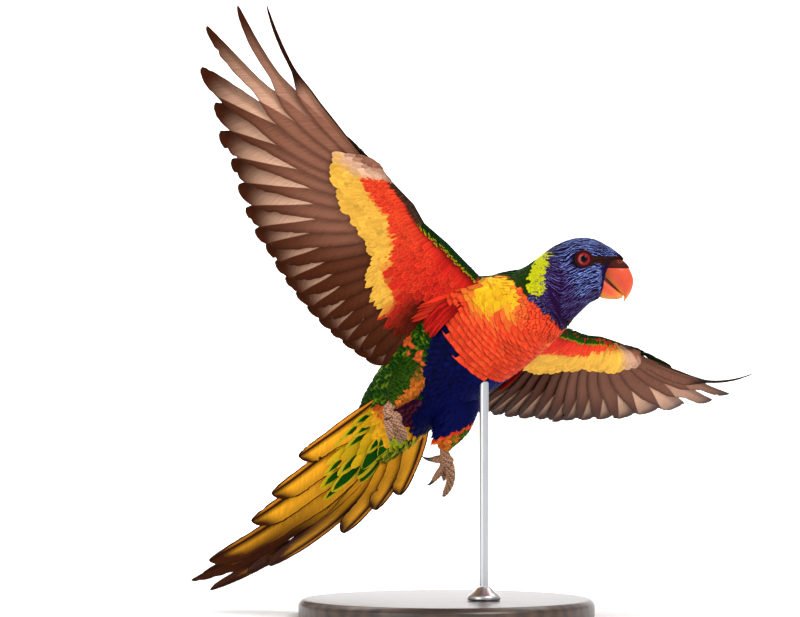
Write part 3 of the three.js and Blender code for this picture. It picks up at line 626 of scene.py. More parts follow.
def paint(name, description, code):
    """A colour property whose default is the sRGB code."""
    settings = {"name": name, "description": description, "subtype": "COLOR", "size": 3}
    return FloatVectorProperty(**settings, min=0, max=1, default=linear(code))


def length(name, description, default):
    """A length property in metres, at least a fifth of its default."""
    return FloatProperty(name=name, description=description, default=default, unit="LENGTH", min=default / 5)


def linear(code):
    """Linear red, green and blue of a six-digit sRGB code."""
    s = np.array([int(code[i : i + 2], 16) for i in (0, 2, 4)]) / 255
    return tuple(np.where(s <= 0.04045, s / 12.92, ((s + 0.055) / 1.055) ** 2.4))


class LorikeetColours(bpy.types.PropertyGroup):
    """Colours of the plumage, bare parts and stand."""

    blue: paint("Head blue", "Crown and cheeks", "0d0b36")
    streak: paint("Head streaks", "Shafts of the head feathers", "8299e2")
    violet: paint("Throat violet", "Throat, nape and cheek edge", "260836")
    lores: paint("Lores", "Strip from the eye to the cere", "26130f")
    lime: paint("Collar", "Band behind the head", "c4c414")
    moss: paint("Neck green", "Neck and back", "1c3304")
    green: paint("Flank green", "Flanks and upper wing", "0c4208")
    leaf: paint("Leaf green", "Edges of the flank feathers", "8fae1e")
    crimson: paint("Deep red", "Underwing near the body", "cf1f1a")
    red: paint("Breast red", "Breast and underwing coverts", "e23d22")
    orange: paint("Orange", "Tips of the underwing and thighs", "ea6a2c")
    gold: paint("Golden yellow", "Side of the breast and wing band", "f2bd1c")
    navy: paint("Belly blue", "Belly", "060b42")
    ember: paint("Dark red", "Edges of the breast feathers", "6d0f0a")
    quill: paint("Quill brown", "Leading webs and tips of the flight feathers", "371505")
    # On the flight feathers, peach is painted light shining through a single web, and mauve, where two webs
    # overlap, is painted shade
    mauve: paint("Mauve", "Flight feathers where they overlap", "8c5c49")
    peach: paint("Peach", "Flight feathers where they don't", "eebb9c")
    tail_gold: paint("Tail gold", "Underside of the tail", "f8ac24")
    tail_brown: paint("Tail brown", "Shafts, edges and end of the tail", "3f1a08")
    bill: paint("Bill", "Bill", "d9512d")
    bill_tip: paint("Bill tip", "Edge and tip of the bill", "e89a3e")
    cere: paint("Cere", "Bare skin over the bill", "42140b")
    iris: paint("Iris", "Iris", "82161f")
    foot: paint("Foot", "Scales of the feet", "c48f6c")
    claw: paint("Claw", "Claws", "241b18")
    wood: paint("Wood", "Base of the stand", "3b2a20")


class LorikeetSizes(bpy.types.PropertyGroup):
    """Sizes of the coat and the fineness of the surfaces."""

    breast_feather: length("Breast feather", "Length of a breast feather", BREAST_FEATHER)
    head_feather: length("Head feather", "Length of a head feather", HEAD_FEATHER)
    row_step: length("Row step", "Distance between rows of body feathers", ROW_STEP)
    quill_rows: IntProperty(
        name="Quill rows", description="Steps along each flight feather", default=40, min=8
    )
    seed: IntProperty(
        name="Seed", description="Seed of the small differences between feathers", default=7
    )


def shades():
    """The scene's colours as arrays, by their names."""
    group = bpy.context.scene.lorikeet_colours
    keys = [key for key in group.bl_rna.properties.keys() if key not in NOT_SHOWN]
    return SimpleNamespace(**{key: np.array(getattr(group, key)) for key in keys})


def body_looks(station, turn, place):
    """Colour, edge, shaft colour and their strengths for feathers at places on the trunk.

    Each marking is bounded by a station that depends on the degrees from the middle of the belly.
    """
    c = shades()
    around = belly_turn(turn)
    b = np.abs(around)
    count = len(station)
    main = np.tile(c.green * 0.65, (count, 1))
    edge = np.tile(c.leaf, (count, 1))
    shaft = main * 0.6
    flick = 0.5 + 0.5 * np.sin(41 * station + 2.3 * turn)
    shaft = blend(shaft, edge * 0.8, smooth(flick, 0.6, 0.9))
    rim, line = 0.06 + 0.2 * flick, 0.3 + 0.4 * smooth(flick, 0.6, 0.9)

    def put(where, colour, rim_colour=None, rim_share=0.5, shaft_colour=None, shaft_share=0.3):
        main[where] = colour
        edge[where] = colour if rim_colour is None else rim_colour
        shaft[where] = colour * 0.7 if shaft_colour is None else shaft_colour
        rim[where], line[where] = rim_share, shaft_share

    red_front = 7.9 - 0.65 * (b / 104) ** 2 - 0.3 * smooth(b, 85, 115)
    red_rear = 5.2 + 0.4 * (b / 80) ** 2
    on_belly = (around < np.interp(station, *BELLY_RIGHT)) & (around > -np.interp(station, *BELLY_LEFT))
    collar_rear, collar_front = np.interp(b, *COLLAR_REAR), np.interp(b, *COLLAR_FRONT)
    flank = 106 + 12 * np.exp(-(((station - 6.8) / 0.6) ** 2))
    back = b > flank
    put(back, c.green * 0.9, c.moss, 0.5)
    spot = ~back & (np.abs(station - 4.2 + 0.004 * (b - 70)) < 0.1 + 0.1 * flick)
    put(spot & (flick > 0.45), blend(c.orange, c.red, 0.4) * 0.8, c.green, 0.5, c.orange, 0.4)
    deep_blue = blend(c.navy * 0.5, c.navy * 2.2, smooth(-around, -10, 50) * (0.6 + 0.4 * flick))
    belly = (station < red_rear) & on_belly
    put(belly, deep_blue[belly], c.navy * 0.6, 0.5, c.navy * 3, 0.3)
    vent = (station < 2.2) & (around < 62) & (around > -100)
    put(vent, blend(c.gold, c.orange, 0.2), c.gold * 1.1, 0.4, c.orange, 0.4)
    put(vent & (station > 1.75) & (around > 5), c.orange * 0.8, c.gold, 0.3, c.ember, 0.5)
    streaks = blend(c.green, c.leaf * 1.2, smooth(flick, 0.35, 0.8))
    low = vent & (around < -8) & (station < 1.85)
    put(low, streaks[low], c.gold, 0.5, c.leaf, 0.4)
    put((station < 1.3) & ~vent & ~back, c.leaf, c.green, 0.3, c.gold, 0.5)
    warm = (station >= 2.2) & (station < 3.4) & (around > -45) & (around < 28)
    warm &= ~on_belly
    put(warm, blend(c.ember, c.navy, 0.8) * 0.6, c.ember * 0.6, 0.3, c.orange * 0.5, 0.25)
    chest = (station > red_rear) & (station < red_front) & (b < flank)
    # Dark red edges of the breast feathers: partly their own edges, partly painted shade for the lines
    # between the rows
    put(chest, c.red, c.ember, 0.9, c.orange, 0.35)
    middle = 6.97 - 0.45 * smooth(b, 85, 118)
    side = b - 70 - 36 * (around < 0)
    glow = np.exp(-(((station - middle) / 0.6) ** 2) - ((side / 42) ** 2)) + 0.09 * np.sin(0.9 * turn)
    gold = blend(blend(c.red, c.orange, smooth(glow, 0.12, 0.35)), c.gold, smooth(glow, 0.3, 0.6))
    put(chest, gold[chest], c.ember * 1.2, 0.85 - 0.5 * smooth(glow, 0.3, 0.6)[chest], c.orange, 0.35)
    put((station >= red_front) & (station <= collar_rear), c.moss, c.green * 0.7, 0.3)
    ahead = station > collar_front
    put(ahead, c.blue, c.violet, 0.5, c.streak, 0.9)
    throat = (station >= np.minimum(red_front, 8)) & (b < 46)
    put(throat, c.violet, c.violet * 0.4, 0.6, blend(c.streak * 0.6, c.violet * 4, 0.3), 0.75)
    collar = (station > collar_rear) & (station <= collar_front) & (b >= 42)
    put(collar, c.lime, blend(c.lime, c.green, 0.35), 0.4, c.lime * 1.1, 0.2)
    y, z = np.moveaxis(head_frame(place), -1, 0)[1:]
    violet = smooth(-y + 0.5 * -z, 0.5, 9) * ahead
    main[:] = blend(main, c.violet, 0.85 * violet)
    shaft[:] = blend(shaft, c.violet * 4 + c.streak * 0.3, 0.6 * violet)
    line[:] = line * (1 - 0.55 * violet)
    lores = ahead & (np.abs(z - 5.2) < 1.9) & (y > 6)
    put(lores, c.lores, c.lores * 0.5, 0.4, c.cere * 1.6, 0.5)
    socket = ahead & (np.hypot(y - EYE_AT[1], z - EYE_AT[2]) < SOCKET_RADIUS)
    put(socket, c.lores * 0.6, c.lores * 0.5, 0.3, c.lores, 0.2)
    return main, edge, shaft, rim, line


def feather_looks(rng, main, edge, shaft, rim, line, border=0.7):
    """Colours over feathers at t along and u across them: darker root, lighter shaft and a crisp border."""
    vary = rng.normal(1, 0.1, (len(main), 1, 1, 1))
    wide = border * rng.uniform(0.6, 1.3, (len(main), 1, 1))
    drop = rng.uniform(0.6, 1.1, (len(main), 1, 1))

    def looks(t, u, inside):
        middle = np.clip(1 - 2.0 * np.abs(u), 0, 1) * smooth(t, 0.05, 0.4) * line[:, None, None]
        tint = blend(main[:, None, None], shaft[:, None, None], middle)
        deep = blend(tint, edge[:, None, None], rim[:, None, None] * drop + 0 * inside)
        dark = (0.4 + 0.6 * smooth(t, 0.1, 0.6))[..., None] * vary
        return tint * dark, deep * dark, inside - wide

    return looks


def streaked_looks(rng, main, shaft, line):
    """Colours of head feathers: a fine crisp line of the shaft's colour down the middle of each."""
    vary = rng.normal(1, 0.1, (len(main), 1, 1, 1))
    wide = (0.24 * line)[:, None, None]

    def looks(t, u, inside):
        dark = (0.5 + 0.5 * smooth(t, 0.1, 0.6))[..., None] * vary
        tint, deep = main[:, None, None] * dark, shaft[:, None, None] * dark
        shape = inside.shape + (3,)
        split = 0.8 * np.abs(u) - wide * smooth(t, 0.05, 0.35) + 0 * inside
        return np.broadcast_to(tint, shape), np.broadcast_to(deep, shape), split

    return looks


# Materials


def new_material(name):
    """An empty node material as two functions.

    add makes a node and sets or links its sockets, where a node stands for its first output, and output
    links the shader and gives back the material.
    """
    material = bpy.data.materials.new(name)
    material.use_nodes = True
    tree = material.node_tree
    tree.nodes.clear()

    def add(kind, sockets=None, **settings):
        node = tree.nodes.new("ShaderNode" + kind)
        for key, value in settings.items():
            setattr(node, key, value)
        for key, value in (sockets or {}).items():
            if isinstance(value, bpy.types.Node):
                value = value.outputs[0]
            if isinstance(value, bpy.types.NodeSocket):
                tree.links.new(value, node.inputs[key])
            else:
                node.inputs[key].default_value = value
        return node

    def output(shader):
        tree.links.new(shader.outputs[0], add("OutputMaterial").inputs["Surface"])
        return material

    return add, output


def feather_material(name, roughness=0.65, soft=0.18, barbs=2600.0):
    """Feather: two colours parted where the split attribute passes 0, streaked and ridged along the barbs."""
    add, output = new_material(name)
    uv = add("UVMap", uv_map="vane")
    xyz = add("SeparateXYZ", {0: uv})
    side = add("Math", {0: xyz}, operation="ABSOLUTE")
    lie = add("Math", {0: side, 1: -0.9, 2: xyz.outputs[1]}, operation="MULTIPLY_ADD")
    place = add("CombineXYZ", {0: lie, 1: side})
    stretched = add("Mapping", {"Vector": place, "Scale": (barbs * 0.001, 0.12, 1)})
    noise = add("TexNoise", {"Vector": stretched, "Scale": 1.0, "Detail": 3.0, "Roughness": 0.6})
    tint = add("Attribute", attribute_name="tint")
    deep = add("Attribute", attribute_name="deep")
    edge = add("Attribute", attribute_name="split").outputs["Fac"]
    span = {"Value": edge, "From Min": soft, "From Max": -soft}
    share = add("MapRange", span, interpolation_type="SMOOTHSTEP")
    both = add("Mix", {0: share, 6: tint, 7: deep}, data_type="RGBA")
    span = {"Value": noise, "From Min": 0.25, "From Max": 0.75, "To Min": 0.72, "To Max": 1.25}
    level = add("MapRange", span)
    streaked = add("VectorMath", {0: both.outputs[2], 1: level}, operation="MULTIPLY")
    bump = add("Bump", {"Height": noise, "Strength": 0.35, "Distance": 0.0002})
    shader = add(
        "BsdfPrincipled",
        {
            "Base Color": streaked,
            "Roughness": roughness,
            "Normal": bump,
            "Specular IOR Level": 0.04,
        },
    )
    return output(shader)


def tinted_material(name, roughness, noise_scale, bump_depth, vary=0.25, coat=0.0, specular=0.5):
    """Skin, horn or scales: the tint attribute, mottled in colour and height by noise on Object places."""
    add, output = new_material(name)
    place = add("TexCoord").outputs["Object"]
    noise = add("TexNoise", {"Vector": place, "Scale": noise_scale, "Detail": 4.0, "Roughness": 0.6})
    tint = add("Attribute", attribute_name="tint")
    span = {"Value": noise, "From Min": 0.3, "From Max": 0.7}
    span |= {"To Min": 1 - vary, "To Max": 1 + vary}
    level = add("MapRange", span)
    mottled = add("VectorMath", {0: tint, 1: level}, operation="MULTIPLY")
    bump = add("Bump", {"Height": noise, "Strength": 0.5, "Distance": bump_depth})
    sockets = {"Base Color": mottled, "Roughness": roughness, "Normal": bump}
    sockets |= {"Coat Weight": coat, "Coat Roughness": 0.08, "Specular IOR Level": specular}
    return output(add("BsdfPrincipled", sockets))


# Wings


def wing_matrix(pose):
    """Axes of a wing in the bird's frame, as columns: span, forward and normal; and the shoulder."""
    r, s, w = (np.radians(pose[key]) for key in ("raise", "swing", "twist"))
    side = pose["side"]
    out = np.array([side * np.cos(r), 0, np.sin(r)])
    back = np.array([-side * np.sin(r), 0, np.cos(r)])
    ahead = np.array([0.0, 1, 0])
    span = out * np.cos(s) + ahead * np.sin(s)
    chord = ahead * np.cos(s) - out * np.sin(s)
    forward = chord * np.cos(w) + back * np.sin(w)
    normal = back * np.cos(w) - chord * np.sin(w)
    return np.stack([span, forward, normal], 1), np.array([side * SHOULDER[0], *SHOULDER[1:]])


def flight_feathers(pose):
    """Root, angle, length, width, narrowing, bend and sweep of each flight feather, from the inside out."""
    longer = pose["grow"]
    tertials = [
        [x, y, angle, length + longer[0], SECONDARY_WIDTH, 1, 0, 0] for x, y, angle, length in TERTIALS
    ]
    order = np.arange(SECONDARY_COUNT)[::-1] / (SECONDARY_COUNT - 1)
    along = (np.arange(SECONDARY_COUNT)[::-1] + 0.5) / SECONDARY_COUNT
    ones = np.ones(SECONDARY_COUNT)
    secondaries = [
        WRIST[0] + (ELBOW[0] - WRIST[0]) * along,
        WRIST[1] + (ELBOW[1] - WRIST[1]) * along,
        pose["secondary_angles"][0] + np.subtract(*pose["secondary_angles"][::-1]) * order,
        SECONDARY_LENGTHS[0] + (SECONDARY_LENGTHS[1] + longer[1] - SECONDARY_LENGTHS[0]) * order,
        SECONDARY_WIDTH * ones,
        ones,
        pose["tip_bends"][0] * (1 - order),
        0 * ones,
    ]
    count = len(PRIMARY_LENGTHS)
    order = np.arange(count) / (count - 1)
    primaries = [
        WRIST[0] + (HAND_END[0] - WRIST[0]) * order,
        WRIST[1] + (HAND_END[1] - WRIST[1]) * order,
        pose["primary_angles"],
        PRIMARY_LENGTHS,
        PRIMARY_WIDTHS,
        PRIMARY_NARROWS,
        pose["tip_bends"],
        pose["tip_sweeps"],
    ]
    return np.concatenate([tertials, np.transpose(secondaries), np.transpose(primaries)])


def bow(pose, x):
    """How far the arm and hand bow up at a distance along the span."""
    return pose["bow"] * np.sin(np.pi * np.maximum(x, 0) / BOW_SPAN) ** 0.7


def shaft_line(pose, rows, share):
    """Points of the shafts of feathers at shares of their lengths: straight, swept and bent near the tip."""
    x, y, angle, length, _, _, bend, sweep = (column[:, None] for column in rows.T)
    out, back = np.sin(np.radians(angle)), np.cos(np.radians(angle))
    curl = sweep * np.maximum(0, (share - SWEEP_FROM) / (1 - SWEEP_FROM)) ** 2
    rise = bow(pose, x) * np.maximum(0, 1 - share) ** 1.5 + bend * np.maximum(0, share) ** 3
    reach = length * share
    return np.stack([x + out * reach + back * curl, y - back * reach + out * curl, rise], -1)


def wing_sheet(pose, index, share):
    """Middle of the wing: lines from the leading edge to the tips of the flight feathers.

    index runs over the flight feathers and is -1 at the body, and share over the chord.
    """
    rows = flight_feathers(pose)
    rows[:, 7] = 0
    tips = np.concatenate([[[-4, -56, 0]], shaft_line(pose, rows, np.array([1.0]))[:, 0]])
    starts = np.concatenate([[-12], rows[:, 0]])
    at = np.arange(-1, FLIGHT_COUNT)
    start = np.interp(index, at, starts)
    tip = np.stack([np.interp(index, at, tips[:, k]) for k in range(3)], -1)
    edge = np.interp(start, *np.transpose(LEADING_EDGE))
    x = start + (tip[..., 0] - start) * share
    y = edge + (tip[..., 1] - edge) * share
    return np.stack([x, y, bow(pose, start) * np.maximum(0, 1 - share) ** 1.5 + tip[..., 2] * share**3], -1)


def wing_half(index, share):
    """Half thickness of the arm and hand with the roots of the feathers, round at the leading edge."""
    outward = np.clip(index / (FLIGHT_COUNT - 1), 0, 1)
    thick = ARM_THICKNESS[0] + (ARM_THICKNESS[1] - ARM_THICKNESS[0]) * outward
    chord = np.clip(share / CORE_SHARE, 0, 1)
    swell = CORE_EDGE + (thick - CORE_EDGE) * np.sin(np.pi * np.sqrt(chord) ** 1.2)
    nose = np.sqrt(1 - (1 - np.clip(share / 0.03, 0, 1)) ** 2)
    return 0.5 * swell * nose


def wing_face(pose, face, depth=0.0):
    """Surface of one face of a wing, 1 above and -1 below, as a function of index, share and height."""
    axes, shoulder = wing_matrix(pose)

    def surface(index, share, height=0.0):
        stack = 2.9 * smooth(share, 0.12, 0.34) if face < 0 else 1.3 * smooth(share, 0.12, 0.3)
        half = np.maximum(wing_half(index, share) - depth, 0.2)
        point = wing_sheet(pose, index, share)
        point[..., 2] += face * (np.maximum(half, stack * np.clip(1 - share, 0.3, 1)) + height)
        return point @ axes.T + shoulder

    return surface


def quill_bake(count, rows, cells):
    """Corners of each blade's faces in a grid of cells: upper face on the left, under face on the right."""
    first, across, down = cells
    at = np.arange(count) + first
    ends = BLADE_CHART
    t = 0.03 + 0.94 * np.linspace(0, 1, rows)
    left, right = ends[:-1], ends[1:]
    low, high = t[:-1, None], t[1:, None]
    x = np.stack(np.broadcast_arrays(left, right, right, left), -1)
    y = np.stack(np.broadcast_arrays(low, low, high, high), -1)
    x, y = np.broadcast_arrays(x, y)
    origin = np.stack([at % across, at // across], -1)[:, None, None, None, :]
    quads = (np.stack([x, y], -1) + origin) / np.array([across, down])
    side = len(ends) - 1
    caps = np.stack(np.broadcast_arrays(ends[:-1], np.array([[0.01], [0.99]])), -1)
    caps = (caps[:, None] + origin[None, :, 0, 0]) / np.array([across, down])
    return [quads.reshape(-1, 4, 2), caps.reshape(-1, side, 2)]


def wing_chord(pose, index):
    """Length of the chord from the leading edge to the tips of the flight feathers."""
    ends = [wing_sheet(pose, index, share + 0 * index) for share in (0.0, 1.0)]
    return np.linalg.norm(ends[1] - ends[0], axis=-1)


def quill_steps(rows):
    """Shares of a quill's length at its rows, closer together towards the tip."""
    return 1 - (1 - np.linspace(0, 1, rows)) ** 1.3


def quills(lines, ups, widths, narrows, web, tilt, looks, side, rng, rows, cells, tip=QUILL_TIP):
    """Long feathers of a wing or tail, each a closed thin blade with a ribbed shaft.

    Across the blade stand nine points above and seven below, from the trailing edge to the leading one;
    the blade is tilted about its shaft, arched between shaft and edges, and its edges are slightly ragged.
    """
    t = quill_steps(rows)
    count = len(lines)
    along = unit(np.gradient(lines, axis=1))
    across = unit(np.cross(np.broadcast_to(ups, along.shape), along)) * side
    normal = unit(ups - along * np.sum(along * ups, -1, keepdims=True))
    reach = np.array(BLADE_POINTS)
    wide = np.where(reach < 0, (1 - web) * reach, web * reach)
    shape = np.stack([web_shape(t, tip, QUILL_ROOT, narrow) for narrow in narrows]) * widths[:, None]
    grain = rng.normal(0, 1, (count, rows, 2))
    ragged = 1 - (0.012 + 0.05 * t**3)[:, None] * np.abs(grain)
    slit = rng.uniform(size=(count, rows, 2)) < 0.06 * smooth(t, 0.7, 0.95)[:, None]
    ragged = ragged * np.where(slit, 0.8, 1)
    edge = np.where(np.abs(reach) > 0.9, ragged[..., (reach > 0).astype(int)], 1)
    x = shape[..., None] * wide * edge
    rise = x * np.tan(np.radians(tilt))[..., None, None] - 0.35 * np.abs(reach) ** 3
    thin = np.clip(1.15 - t, 0.12, 1)[:, None]
    half = (0.09 + 0.16 * np.exp(-((reach / 0.12) ** 2))) * thin
    flat = lines[:, :, None] + across[:, :, None] * x[..., None]
    above = flat + normal[:, :, None] * (rise + half)[..., None]
    below = flat + normal[:, :, None] * (rise - half)[..., None]
    points = np.concatenate([above, below[:, :, -2:0:-1]], 2)
    fold = np.concatenate([np.arange(9), np.arange(7, 0, -1)])
    top = (np.arange(16) > 0) & (np.arange(16) < 8)
    u, xs = reach[fold], x[..., fold]
    tint, deep, split = looks(t, u, xs, top)
    length = np.linalg.norm(lines[:, -1] - lines[:, 0], axis=-1)
    vane = np.stack(np.broadcast_arrays(xs, (length[:, None] * t)[..., None]), -1)
    bake = quill_bake(count, rows, cells)
    faces = ring_faces(count, rows, len(fold))
    return part(points, faces, tint, vane=vane, OFBake=bake, deep=deep, split=split)


def tail_point(side, angle, distance, lift, apart=0.0):
    """Point of the tail fan at a distance from its root and an angle to one side, swayed and curved up."""
    angle, distance = np.radians(angle), np.asarray(distance, float)
    back = distance * np.cos(angle)
    radius = 100 / np.radians(TAIL_LIFT)
    x = side * (TAIL_ROOT_STEP + apart + distance * np.sin(angle)) + TAIL_SWAY * (back / 100) ** 2
    y = -(radius - lift) * np.sin(back / radius)
    z = radius - (radius - lift) * np.cos(back / radius)
    axes = turned("z", TAIL_YAW) @ turned("x", TAIL_PITCH) @ turned("y", TAIL_ROLL)
    return np.stack(np.broadcast_arrays(x, y, z), -1) @ axes.T + TAIL_AT


def tube_surface(stations):
    """Round tube along a smooth curve through points that carry their radii, as a surface."""
    stations = np.array(stations, float)

    def surface(station, turn, height=0.0):
        at = spline(stations, station)
        along = unit(spline(stations[:, :3], station + 0.01) - spline(stations[:, :3], station - 0.01))
        side = unit(np.cross(np.broadcast_to([0.1, 0.3, 1.0], along.shape), along))
        up = np.cross(along, side)
        angle = np.radians(turn)[..., None]
        radius = at[..., 3:4] + np.asarray(height, float)[..., None]
        return at[..., :3] + radius * (side * np.cos(angle) + up * np.sin(angle))

    return surface


def tube_part(stations, rows, ring, colour, relief=None):
    """Closed tube over a tube surface; relief(s, turn) stands off it in millimetres."""
    s, turn = rings(len(stations) - 1, rows, ring)
    height = 0 * s if relief is None else relief(s, turn)
    return part(tube_surface(stations)(s, turn, height), ring_faces(1, rows, ring), colour(s, turn))


# Surfaces of the skin


def skin_of_trunk():
    """Skin of the body and head, inside the solids by the coat's depth, with the coat's markings at half
    their brightness: painted shade between the feathers.
    """
    s, turn = rings(LAST_STATION, 260, 120)
    place = trunk(s, turn, -coat_depth(s))
    main = body_looks(s.ravel(), turn.ravel(), place.reshape(-1, 3))[0]
    # Half brightness: painted shade between the feathers
    return part(place, ring_faces(1, *s.shape), main * 0.5)


def skin_of_wing(pose):
    """Skin of the arm and hand: both faces of the core from the trailing edge round the leading edge."""
    index = np.linspace(-1, FLIGHT_COUNT - 1, 90)[:, None]
    share = np.clip(wing_bounds(index, pose)[2] - 0.06, 0.06, CORE_SHARE) * np.linspace(0, 1, 24) ** 1.5
    under = wing_face(pose, -1, 0.6)(*np.broadcast_arrays(index, share[:, ::-1]))
    upper = wing_face(pose, 1, 0.6)(*np.broadcast_arrays(index, share[:, 1:]))
    points = np.concatenate([under, upper], 1)
    below = wing_looks(index, share[:, ::-1], -1, pose)[0]
    above = wing_looks(index, share[:, 1:], 1, pose)[0]
    # The coverts' colours at half brightness: painted shade between the feathers
    return part(points, ring_faces(1, *points.shape[:2]), np.concatenate([below, above], 1) * 0.5)


def lid_part(side):
    """Ring of bare wrinkled lid round an eye: a torus whose tube swells a little along fine folds."""
    turn, around = np.meshgrid(circle(96), circle(16), indexing="ij")
    a, b = np.radians(turn), np.radians(around)
    thick = LID_THICKNESS * (1 + 0.09 * np.sin(24 * a) * np.maximum(np.cos(b - 0.8), 0))
    ring = LID_RADIUS + thick * np.cos(b)
    reach = np.sqrt(EYE_RADIUS**2 - (LID_RADIUS - LID_THICKNESS) ** 2)
    x = side * (EYE_AT[0] + reach + thick * np.sin(b))
    points = np.stack([x, EYE_AT[1] + ring * np.cos(a), EYE_AT[2] + ring * np.sin(a)], -1)
    count, tube = turn.shape
    i, k = np.arange(count)[:, None], np.arange(tube)[None]
    j, l = (i + 1) % count, (k + 1) % tube
    faces = [np.stack([i * tube + k, i * tube + l, j * tube + l, j * tube + k], -1).reshape(-1, 4)]
    c = shades()
    return part(from_head(points), faces, blend(c.lores * 0.2, c.ember * 0.3, 0.35))


# Wings


def wing_bounds(index, pose):
    """Shares of the chord where the edge's colour, the red and the gold of the underwing end."""
    return [np.interp(index, *WING_MARKS[pose["side"]][key]) for key in ("edge", "red", "gold")]


def wing_looks(index, share, face, pose):
    """Colours of the wing coverts at places on one face."""
    c, side = shades(), pose["side"]
    index, share = np.broadcast_arrays(index, share)
    edge_end, red_end, gold_end = wing_bounds(index, pose)
    hand = smooth(index, 17.6, 19.2)
    turn = WING_MARKS[side]["green"]
    arm_edge = blend(c.green, c.foot * 0.12, smooth(index, turn - 0.4, turn + 0.9))
    if face > 0:
        main = np.broadcast_to(c.green, index.shape + (3,))
        rim = blend(main, c.leaf, 0.4 + 0 * share)
        dark = smooth(index, turn - 0.4, turn + 1.4) * smooth(share, 0.2, 0.08)
        main = blend(blend(main, c.quill * 0.5, 0.6 * hand), c.foot * 0.12, dark)
        rim = blend(blend(rim, c.quill, 0.6 * hand), c.foot * 0.14, dark)
        return main, rim, main * 0.6, 0.5 + 0 * share, 0.3 + 0 * share
    gold = smooth(share, red_end - 0.015, red_end + 0.015) * smooth(gold_end - red_end, 0.02, 0.05)
    soft_gold = blend(blend(c.gold, c.orange, 0.14), c.peach, 0.14)
    # The gold is painted darker on the right wing and lighter on the left: painted shade and painted light
    soft_gold = soft_gold * (0.92 if side > 0 else 1.1)
    deepness = 0.5 + 0.5 * np.sin(1.1 * index + 26 * share) * np.sin(0.7 * index - 17 * share + 1)
    red = blend(c.red, c.crimson, smooth(index, 11, 3) * 0.7 + 0.3 * deepness)
    # The red is painted lighter on the left wing: painted light
    red = red * (1.35 if side < 0 else 1)
    main = blend(red, soft_gold, gold)
    rim = blend(blend(red, c.orange, 0.45) * 1.1, soft_gold * 1.05, gold)
    shade = 0.92 * smooth(index, 5.5, 2.5) * smooth(share, 0.34, 0.5) * (side > 0)
    main, rim = blend(main, c.quill * 0.8, shade), blend(rim, c.ember * 0.7, shade)
    pink = smooth(index, 16.8, 18.2) * gold * smooth(share, 0.36, 0.24)
    flesh = blend(c.peach, c.mauve, 0.2) * 0.95
    main = blend(main, flesh, np.maximum(pink, 0.75 * hand * gold))
    rim = blend(rim, flesh, np.maximum(pink, hand * gold))
    far = smooth(index, 18.6, 20)
    main, rim = blend(main, c.mauve, far), blend(rim, c.mauve * 1.1, far)
    front = share < edge_end * 0.95
    main = np.where(front[..., None], arm_edge, main)
    scallop = (index < turn + 0.5)[..., None]
    rim = np.where(front[..., None], np.where(scallop, c.gold, arm_edge), rim)
    rim_share = (0.45 - 0.1 * gold) * (1 - 0.7 * hand) + 0.4 * front
    return main, rim, main * 0.5, rim_share, 0.5 - 0.25 * gold


def covert_row(
    pose, face, rng, start, length, width, spacing, lift, span=(-1, FLIGHT_COUNT - 1.2), rows=7, tone=None
):
    """One row of coverts across a wing face.

    start is the share of the chord at their roots for an index, length their length in millimetres for
    an index, lift the height of their roots and tips off the face, and tone their colours for an index
    where they aren't the face's own.
    """
    surface = wing_face(pose, face)
    fine = np.linspace(*span, 300)
    walk = walked(surface(fine, start(fine) + 0.05))
    count = max(2, round(walk[-1] / spacing))
    at = (np.arange(count) + 0.5 + rng.uniform(-0.2, 0.2, count)) / count * walk[-1]
    index = np.interp(at, walk, fine)
    share = np.clip(start(index) + rng.normal(0, 0.004, count), 0.001, 1)
    chord = wing_chord(pose, index)
    reach = length(index) * rng.uniform(0.92, 1.08, count) / chord
    looks = tone(index) if tone else wing_looks(index, share + 0.9 * reach, face, pose)
    heights = lambda t: lift[0] + (lift[1] - lift[0]) * t
    half = 0.5 if face < 0 else 0

    def chart(a, b):
        return np.stack([0.02 + 0.96 * (a + 1) / FLIGHT_COUNT, 0.01 + half + 0.48 * np.clip(b, 0, 1)], -1)

    drift = rng.normal(0, 0.12, count)
    slim = np.interp(index, [12, 18, 22], [1, 0.5, 0.3]) if face > 0 else 1
    wide = width * rng.uniform(0.9, 1.1, count) * slim
    looks = feather_looks(rng, *looks)
    return body_feathers(
        surface, index, share, drift, reach, wide, heights, looks, chart, rows=rows, ridge=0.3, fall=0.01
    )


def alula_part(pose, rng):
    """Three short dark quills on the thumb, lying along the leading edge of the hand."""
    c = shades()
    axes, shoulder = wing_matrix(pose)
    t = quill_steps(ALULA_ROWS)
    lines, widths = [], []
    for k, length in enumerate((1.0, 0.8, 0.6)):
        angle = np.radians(ALULA["angle"] - 3 * k)
        x = ALULA["root"][0] + ALULA["length"] * length * t * np.sin(angle)
        y = ALULA["root"][1] - 1.1 * k - ALULA["length"] * length * t * np.cos(angle)
        z = bow(pose, x) - ALULA_DEPTH - 0.35 * k + ALULA_DEPTH * 0.6 * t
        lines.append(np.stack([x, y, z], -1))
        widths.append(ALULA["width"] * (1 - 0.1 * k))

    def looks(t, u, xs, top):
        tint = c.foot * (0.14 + 0.1 * smooth(-u, 0.2, 0.9))[:, None] * np.ones(xs.shape + (1,))
        return tint, tint, ONE_COLOUR + 0 * xs

    lines = np.array(lines) @ axes.T + shoulder
    settings = (0.4, np.full(3, 4.0), looks, pose["side"], rng, ALULA_ROWS, (FLIGHT_COUNT, *WING_CELLS))
    return quills(lines, axes[:, 2], np.array(widths), np.ones(3), *settings)


